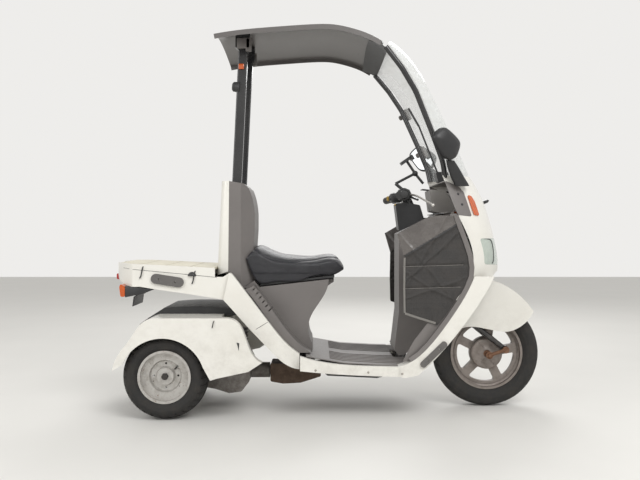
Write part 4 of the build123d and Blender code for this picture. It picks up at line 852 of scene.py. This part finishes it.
def lamp_gasket(side):
    """Dark line around the headlamp, laid on the lens."""
    path = []
    for x, z in LAMP_LENS:
        at, normal = side_hit("headlamps", x, z, side)
        if at is not None:
            path.append(tuple(at + normal * 0.4))
    tube(f"lamp_gasket_{HAND[side]}", path, 2.6, BLACK, "front_body")


def drum_panel(side):
    """Panel over the front hub, with its bolts and ribs."""
    axle_x, _, axle_z = FRONT_AXLE
    at, _ = surface_hit("fork_links", (axle_x - 49.5, side * 300, axle_z), (0, -side, 0))
    face = abs(at.y)
    place = frame_at((axle_x, side * face, axle_z), (0, side, 0))
    shape = bmesh.new()
    turned(shape, [(16, 3.2), (24, 3.4), (27, 1.6), (46, 1.2), (50, 2.4), (61, 2.2), (67, 0.6), (69.5, -2),
                   (DRUM_R, -9)], place, 72)
    bolts, bolt_circle = 4, 56
    for k in range(bolts):
        turn = tau * (k + 0.4) / bolts
        spot = (axle_x + bolt_circle * cos(turn), side * (face + 1.8), axle_z + bolt_circle * sin(turn))
        hex_nut(shape, spot, (0, side, 0), 9, 4)
    ribs = 6
    for k in range(ribs):
        block(shape, (22, 3.5, 3.0), place @ Matrix.Rotation(tau * k / ribs, 4, "Z")
              @ Matrix.Translation(millimetres(36, 0, 1.8)), 1)
    finished(shape, f"drum_panel_{HAND[side]}", CAST, "steering")


def hand_controls(side):
    """Grip ends, switch housing and brake lever."""
    x, y, height = GRIP_END
    shape = bmesh.new()
    turned(shape, [(0, 3), (10, 2.6), (14, 1.2), (16, 0), (12, -2)],
           frame_at((x, side * y, height), (0, side, 0)), 28)
    turned(shape, [(20.5, -104), (25, -105), (27, -108), (27, -112), (24, -115), (20, -115)],
           frame_at((x + 3, side * (y + 4), height + 3), (-0.06, side, -0.02)), 32)
    finished(shape, f"grip_ends_{HAND[side]}", GRIP, "steering")
    shape = bmesh.new()
    block(shape, (56, 60, 48), Matrix.Translation(millimetres(322, side * HOUSING_Y, 946))
          @ Matrix.Rotation(side * radians(4), 4, "Z"), 13)
    block(shape, (8, 16, 12), Matrix.Translation(millimetres(294, side * (HOUSING_Y + 8), 952)), 2.5)
    block(shape, (8, 10, 10), Matrix.Translation(millimetres(294, side * (HOUSING_Y - 14), 940)), 2.5)
    finished(shape, f"switch_housing_{HAND[side]}", BLACK, "steering")
    tube(f"brake_lever_{HAND[side]}", [(x, side * y, z) for x, y, z in LEVER], 4.6, POLISHED, "steering")
    shape = bmesh.new()
    bmesh.ops.create_uvsphere(shape, u_segments=20, v_segments=12, radius=0.0075,
                              matrix=Matrix.Translation(millimetres(429, side * 279, 897)))
    pivot_x, pivot_y, pivot_z = LEVER[0]
    hex_nut(shape, (pivot_x, side * pivot_y, pivot_z + 4), (0, 0, 1), 13, 6)
    finished(shape, f"lever_ends_{HAND[side]}", POLISHED, "steering")


def deck_fittings(side):
    """Two elastic hooks and the half dome over the front one."""
    for label, x, high, low in (("rear", -800, 634, 589), ("front", -578, 616, 566)):
        at, _ = outer_hit(["deck_shell", "deck_boards"], x, low + 14, side)
        y = at.y
        tube(f"deck_hook_{label}_{HAND[side]}",
             [(x + 7, y - side * 5, high + 4), (x + 5, y + side * 4, high + 2), (x + 1, y + side * 4, high - 18),
              (x - 3, y + side * 4, low + 4), (x - 8, y + side * 5, low - 2)], 2.6, BLACK_PAINT, "front_body")
    dome_x, dome_z = -585, 596
    at, _ = side_hit("deck_shell", dome_x, dome_z, side)
    shape = bmesh.new()
    turned(shape, [(0, 9), (9, 8), (16, 4), (19, 0), (19, -3)], frame_at(at, (0, side, 0)), 28)
    bmesh.ops.bisect_plane(shape, geom=shape.verts[:] + shape.edges[:] + shape.faces[:],
                           plane_co=millimetres(0, 0, dome_z + 1), plane_no=(0, 0, -1), clear_outer=True)
    finished(shape, f"hook_guard_{HAND[side]}", BLACK, "front_body")


def fender_fittings(side):
    """Hook of a rear fender, and a black sheet on the fender that paints the shade inside its three-cornered cut."""
    fender = f"rear_fender_{HAND[side]}"
    high, _ = side_hit(fender, -480, 416, side)
    low, _ = side_hit(fender, -483, 392, side)
    tube(f"fender_hook_{HAND[side]}", [(-477, high.y, 419), (-478, high.y + side * 5, 418),
                                       (-481, (high.y + low.y) / 2 + side * 5, 404), (-484, low.y + side * 4, 391)],
         2.0, BLACK_PAINT, "rear_unit")
    # Black sheet laid just off the fender: painted shade for the dark inside of the three-cornered cut
    at, normal = side_hit(fender, -378, 314, side)
    shape = bmesh.new()
    plate(shape, [(-6, 17), (5, 14), (3, -17)], 0.8, frame_at(at + normal * 0.3, normal))
    finished(shape, f"fender_cut_painted_shade_{HAND[side]}", BLACK, "rear_unit")


def wheel_fittings(side):
    """Rivets and valve in the dish of a rear wheel."""
    rim, body = f"rear_rim_{HAND[side]}", f"rear_wheel_{HAND[side]}"
    shape = bmesh.new()
    for x, z in DISH_RIVETS:
        at, normal = side_hit(rim, x, z, side)
        if at is not None:
            screw(shape, at - normal * 1.6, normal, 2.6)
    finished(shape, f"dish_rivets_{HAND[side]}", AXLE_DARK, body)
    foot, _ = side_hit(rim, *VALVE_FOOT, side)
    tip, _ = side_hit(rim, *VALVE_TIP, side)
    tube(f"rear_valve_{HAND[side]}", [(-653, foot.y - side * 2, 207), (-646, foot.y + side * 7, 214),
                                      (-637, max(foot.y * side, tip.y * side) * side + side * 9, 223)], 3.4,
         BLACK, body)


def cover_seams(side):
    """Thin dark lines where the covers meet."""
    steps = 16
    for label, start, end in SEAMS:
        path = []
        for k in range(steps + 1):
            x = start[0] + (end[0] - start[0]) * k / steps
            z = start[1] + (end[1] - start[1]) * k / steps
            at, normal = outer_hit(COVERS, x, z, side)
            if at is not None:
                path.append(tuple(at + normal * 0.1))
        if len(path) > 3:
            tube(f"{label}_seam_{HAND[side]}", path, 0.9, BLACK, "front_body", smooth=False)


for side in (RIGHT, LEFT):
    for fit in (fill_panel, rail_trim, indicator_arm, post_fittings, lamp_gasket, drum_panel, hand_controls, mirror,
                deck_fittings, fender_fittings, wheel_fittings, cover_seams):
        fit(side)

# Knobs and clips of the screen, on the far pillar only, as the photograph shows them
for k, (x, z, kx, kz) in enumerate(((392, 1362, 361, 1347), (474, 1176, 445, 1161))):
    shape = bmesh.new()
    along = (x - kx, 0, z - kz)
    place = frame_at((kx - 8, 284, kz - 4), along)
    turned(shape, [(0, -2), (8, -1), (12, 3), (12, 20), (9, 24), (5, 26), (5, 38)], place, 24)
    finished(shape, f"screen_knob_{k + 1}", GREY, "front_body")
    shape = bmesh.new()
    block(shape, (26, 14, 58), Matrix.Translation(millimetres(x, 284, z)) @ Matrix.Rotation(radians(-24), 4, "Y"), 4)
    finished(shape, f"pillar_clip_{k + 1}", GREY, "front_body")

# Bracket on the nose, instrument face, brass fittings, and a black block that paints the shade inside the dash slot
shape = bmesh.new()
block(shape, (10, 16, 92), Matrix.Translation(millimetres(694, 0, 902)) @ Matrix.Rotation(radians(-22), 4, "Y"), 2)
block(shape, (22, 62, 15), Matrix.Translation(millimetres(706, 0, 920)) @ Matrix.Rotation(radians(-22), 4, "Y"), 3)
for side in (RIGHT, LEFT):
    hex_nut(shape, (716, side * 20, 924), (0.93, 0, 0.37), 11, 5)
finished(shape, "nose_bracket", BLACK_PAINT, "front_body")

shape = bmesh.new()
face = frame_at((484, 0, 970.5), (0.094, 0, 0.995))
block(shape, (62, 128, 4), face, 1.8)
finished(shape, "instrument_bezel", BLACK, "front_body")
shape = bmesh.new()
for y, radius in ((0, 25), (-44, 15), (44, 15)):
    turned(shape, [(0, 1.2), (radius - 2, 1.2), (radius, 0)], face @ Matrix.Translation(millimetres(0, y, 2.2)), 40)
finished(shape, "instrument_dials", DASH_GREY, "front_body")
shape = bmesh.new()
for y, radius, turn in ((0, 19, 0.6), (-44, 11, -0.4), (44, 11, 0.9)):
    block(shape, (radius, 1.2, 0.8), face @ Matrix.Translation(millimetres(0, y, 4.0))
          @ Matrix.Rotation(turn, 4, "Z") @ Matrix.Translation(millimetres(radius * 0.4, 0, 0)), 0.2)
finished(shape, "instrument_needles", AMBER, "front_body")
shape = bmesh.new()
for y, z in ((186, 938), (196, 948)):
    hex_nut(shape, (291, y, z), (-1, 0, 0.1), 15, 8)
hex_nut(shape, (300, -40, 906), (-1, 0, 0), 9, 5)
finished(shape, "brass_fittings", BRASS, "steering")
# Black block on the leg shield: painted shade for the dark inside of the dash slot
shape = bmesh.new()
block(shape, (47, 15, 5), Matrix.Translation(millimetres(459, -236, 862)), 2.2)
finished(shape, "shield_slot_painted_shade", BLACK, "front_body")


# Floor, light and camera

def floor_finish():
    f = Finish("studio_floor")
    tone = f.mottle(2.0, 3.0, 0.5).span(0.3, 0.7)
    return f.shade(Base_Color=f.mixed(tone, tint(0.72, 0.71, 0.68), tint(0.75, 0.74, 0.71)),
                   Roughness=0.55 + tone * 0.1)


shape = bmesh.new()
bmesh.ops.create_grid(shape, x_segments=1, y_segments=1, size=9.0)
floor_mesh = bpy.data.meshes.new("studio_floor")
shape.to_mesh(floor_mesh)
shape.free()
floor = bpy.data.objects.new("studio_floor", floor_mesh)
floor_mesh.materials.append(floor_finish())
bpy.context.scene.collection.objects.link(floor)


def area_lamp(name, at, target, size, power):
    lamp = bpy.data.lights.new(name, "AREA")
    lamp.shape, lamp.size, lamp.energy = "DISK", size, power
    stand = bpy.data.objects.new(name, lamp)
    stand.location = at
    stand.rotation_euler = (Vector(target) - Vector(at)).to_track_quat("-Z", "Y").to_euler()
    bpy.context.scene.collection.objects.link(stand)


area_lamp("key_lamp", (1.6, -3.4, 3.6), (0, 0, 0.7), 2.6, 120.0)
area_lamp("fill_lamp", (-3.2, -2.6, 2.2), (0, 0, 0.7), 2.4, 45.0)
area_lamp("back_lamp", (0.5, 3.4, 3.2), (0, 0, 0.8), 2.4, 60.0)

world = bpy.data.worlds.new("studio")
bpy.context.scene.world = world
world.use_nodes = True
tree = world.node_tree
tree.nodes.clear()
path = tree.nodes.new("ShaderNodeLightPath")
seen = tree.nodes.new("ShaderNodeMath")
seen.operation = "MAXIMUM"
tree.links.new(path.outputs["Is Camera Ray"], seen.inputs[0])
glossy = tree.nodes.new("ShaderNodeMath")
glossy.operation = "MAXIMUM"
tree.links.new(path.outputs["Is Glossy Ray"], glossy.inputs[0])
tree.links.new(path.outputs["Is Transmission Ray"], glossy.inputs[1])
tree.links.new(glossy.outputs[0], seen.inputs[1])
dim = tree.nodes.new("ShaderNodeBackground")
dim.inputs["Color"].default_value = tint(1.0, 0.99, 0.97)
dim.inputs["Strength"].default_value = 0.62
bright = tree.nodes.new("ShaderNodeBackground")
bright.inputs["Color"].default_value = tint(0.93, 0.92, 0.90)
bright.inputs["Strength"].default_value = 0.92
blend = tree.nodes.new("ShaderNodeMixShader")
tree.links.new(seen.outputs[0], blend.inputs[0])
tree.links.new(dim.outputs[0], blend.inputs[1])
tree.links.new(bright.outputs[0], blend.inputs[2])
tree.links.new(blend.outputs[0], tree.nodes.new("ShaderNodeOutputWorld").inputs[0])

lens_data = bpy.data.cameras.new("photo_camera")
lens_data.lens, lens_data.sensor_width = 40.98, 36.0
lens_data.shift_x, lens_data.shift_y = [pixels / PHOTO_WIDTH for pixels in (3, -10)]
camera = bpy.data.objects.new("photo_camera", lens_data)
camera.location = (-0.054, -3.315, 0.793)
camera.rotation_euler = (pi / 2, 0, 0)
bpy.context.scene.collection.objects.link(camera)
bpy.context.scene.camera = camera
bpy.context.scene.view_settings.view_transform = "Standard"
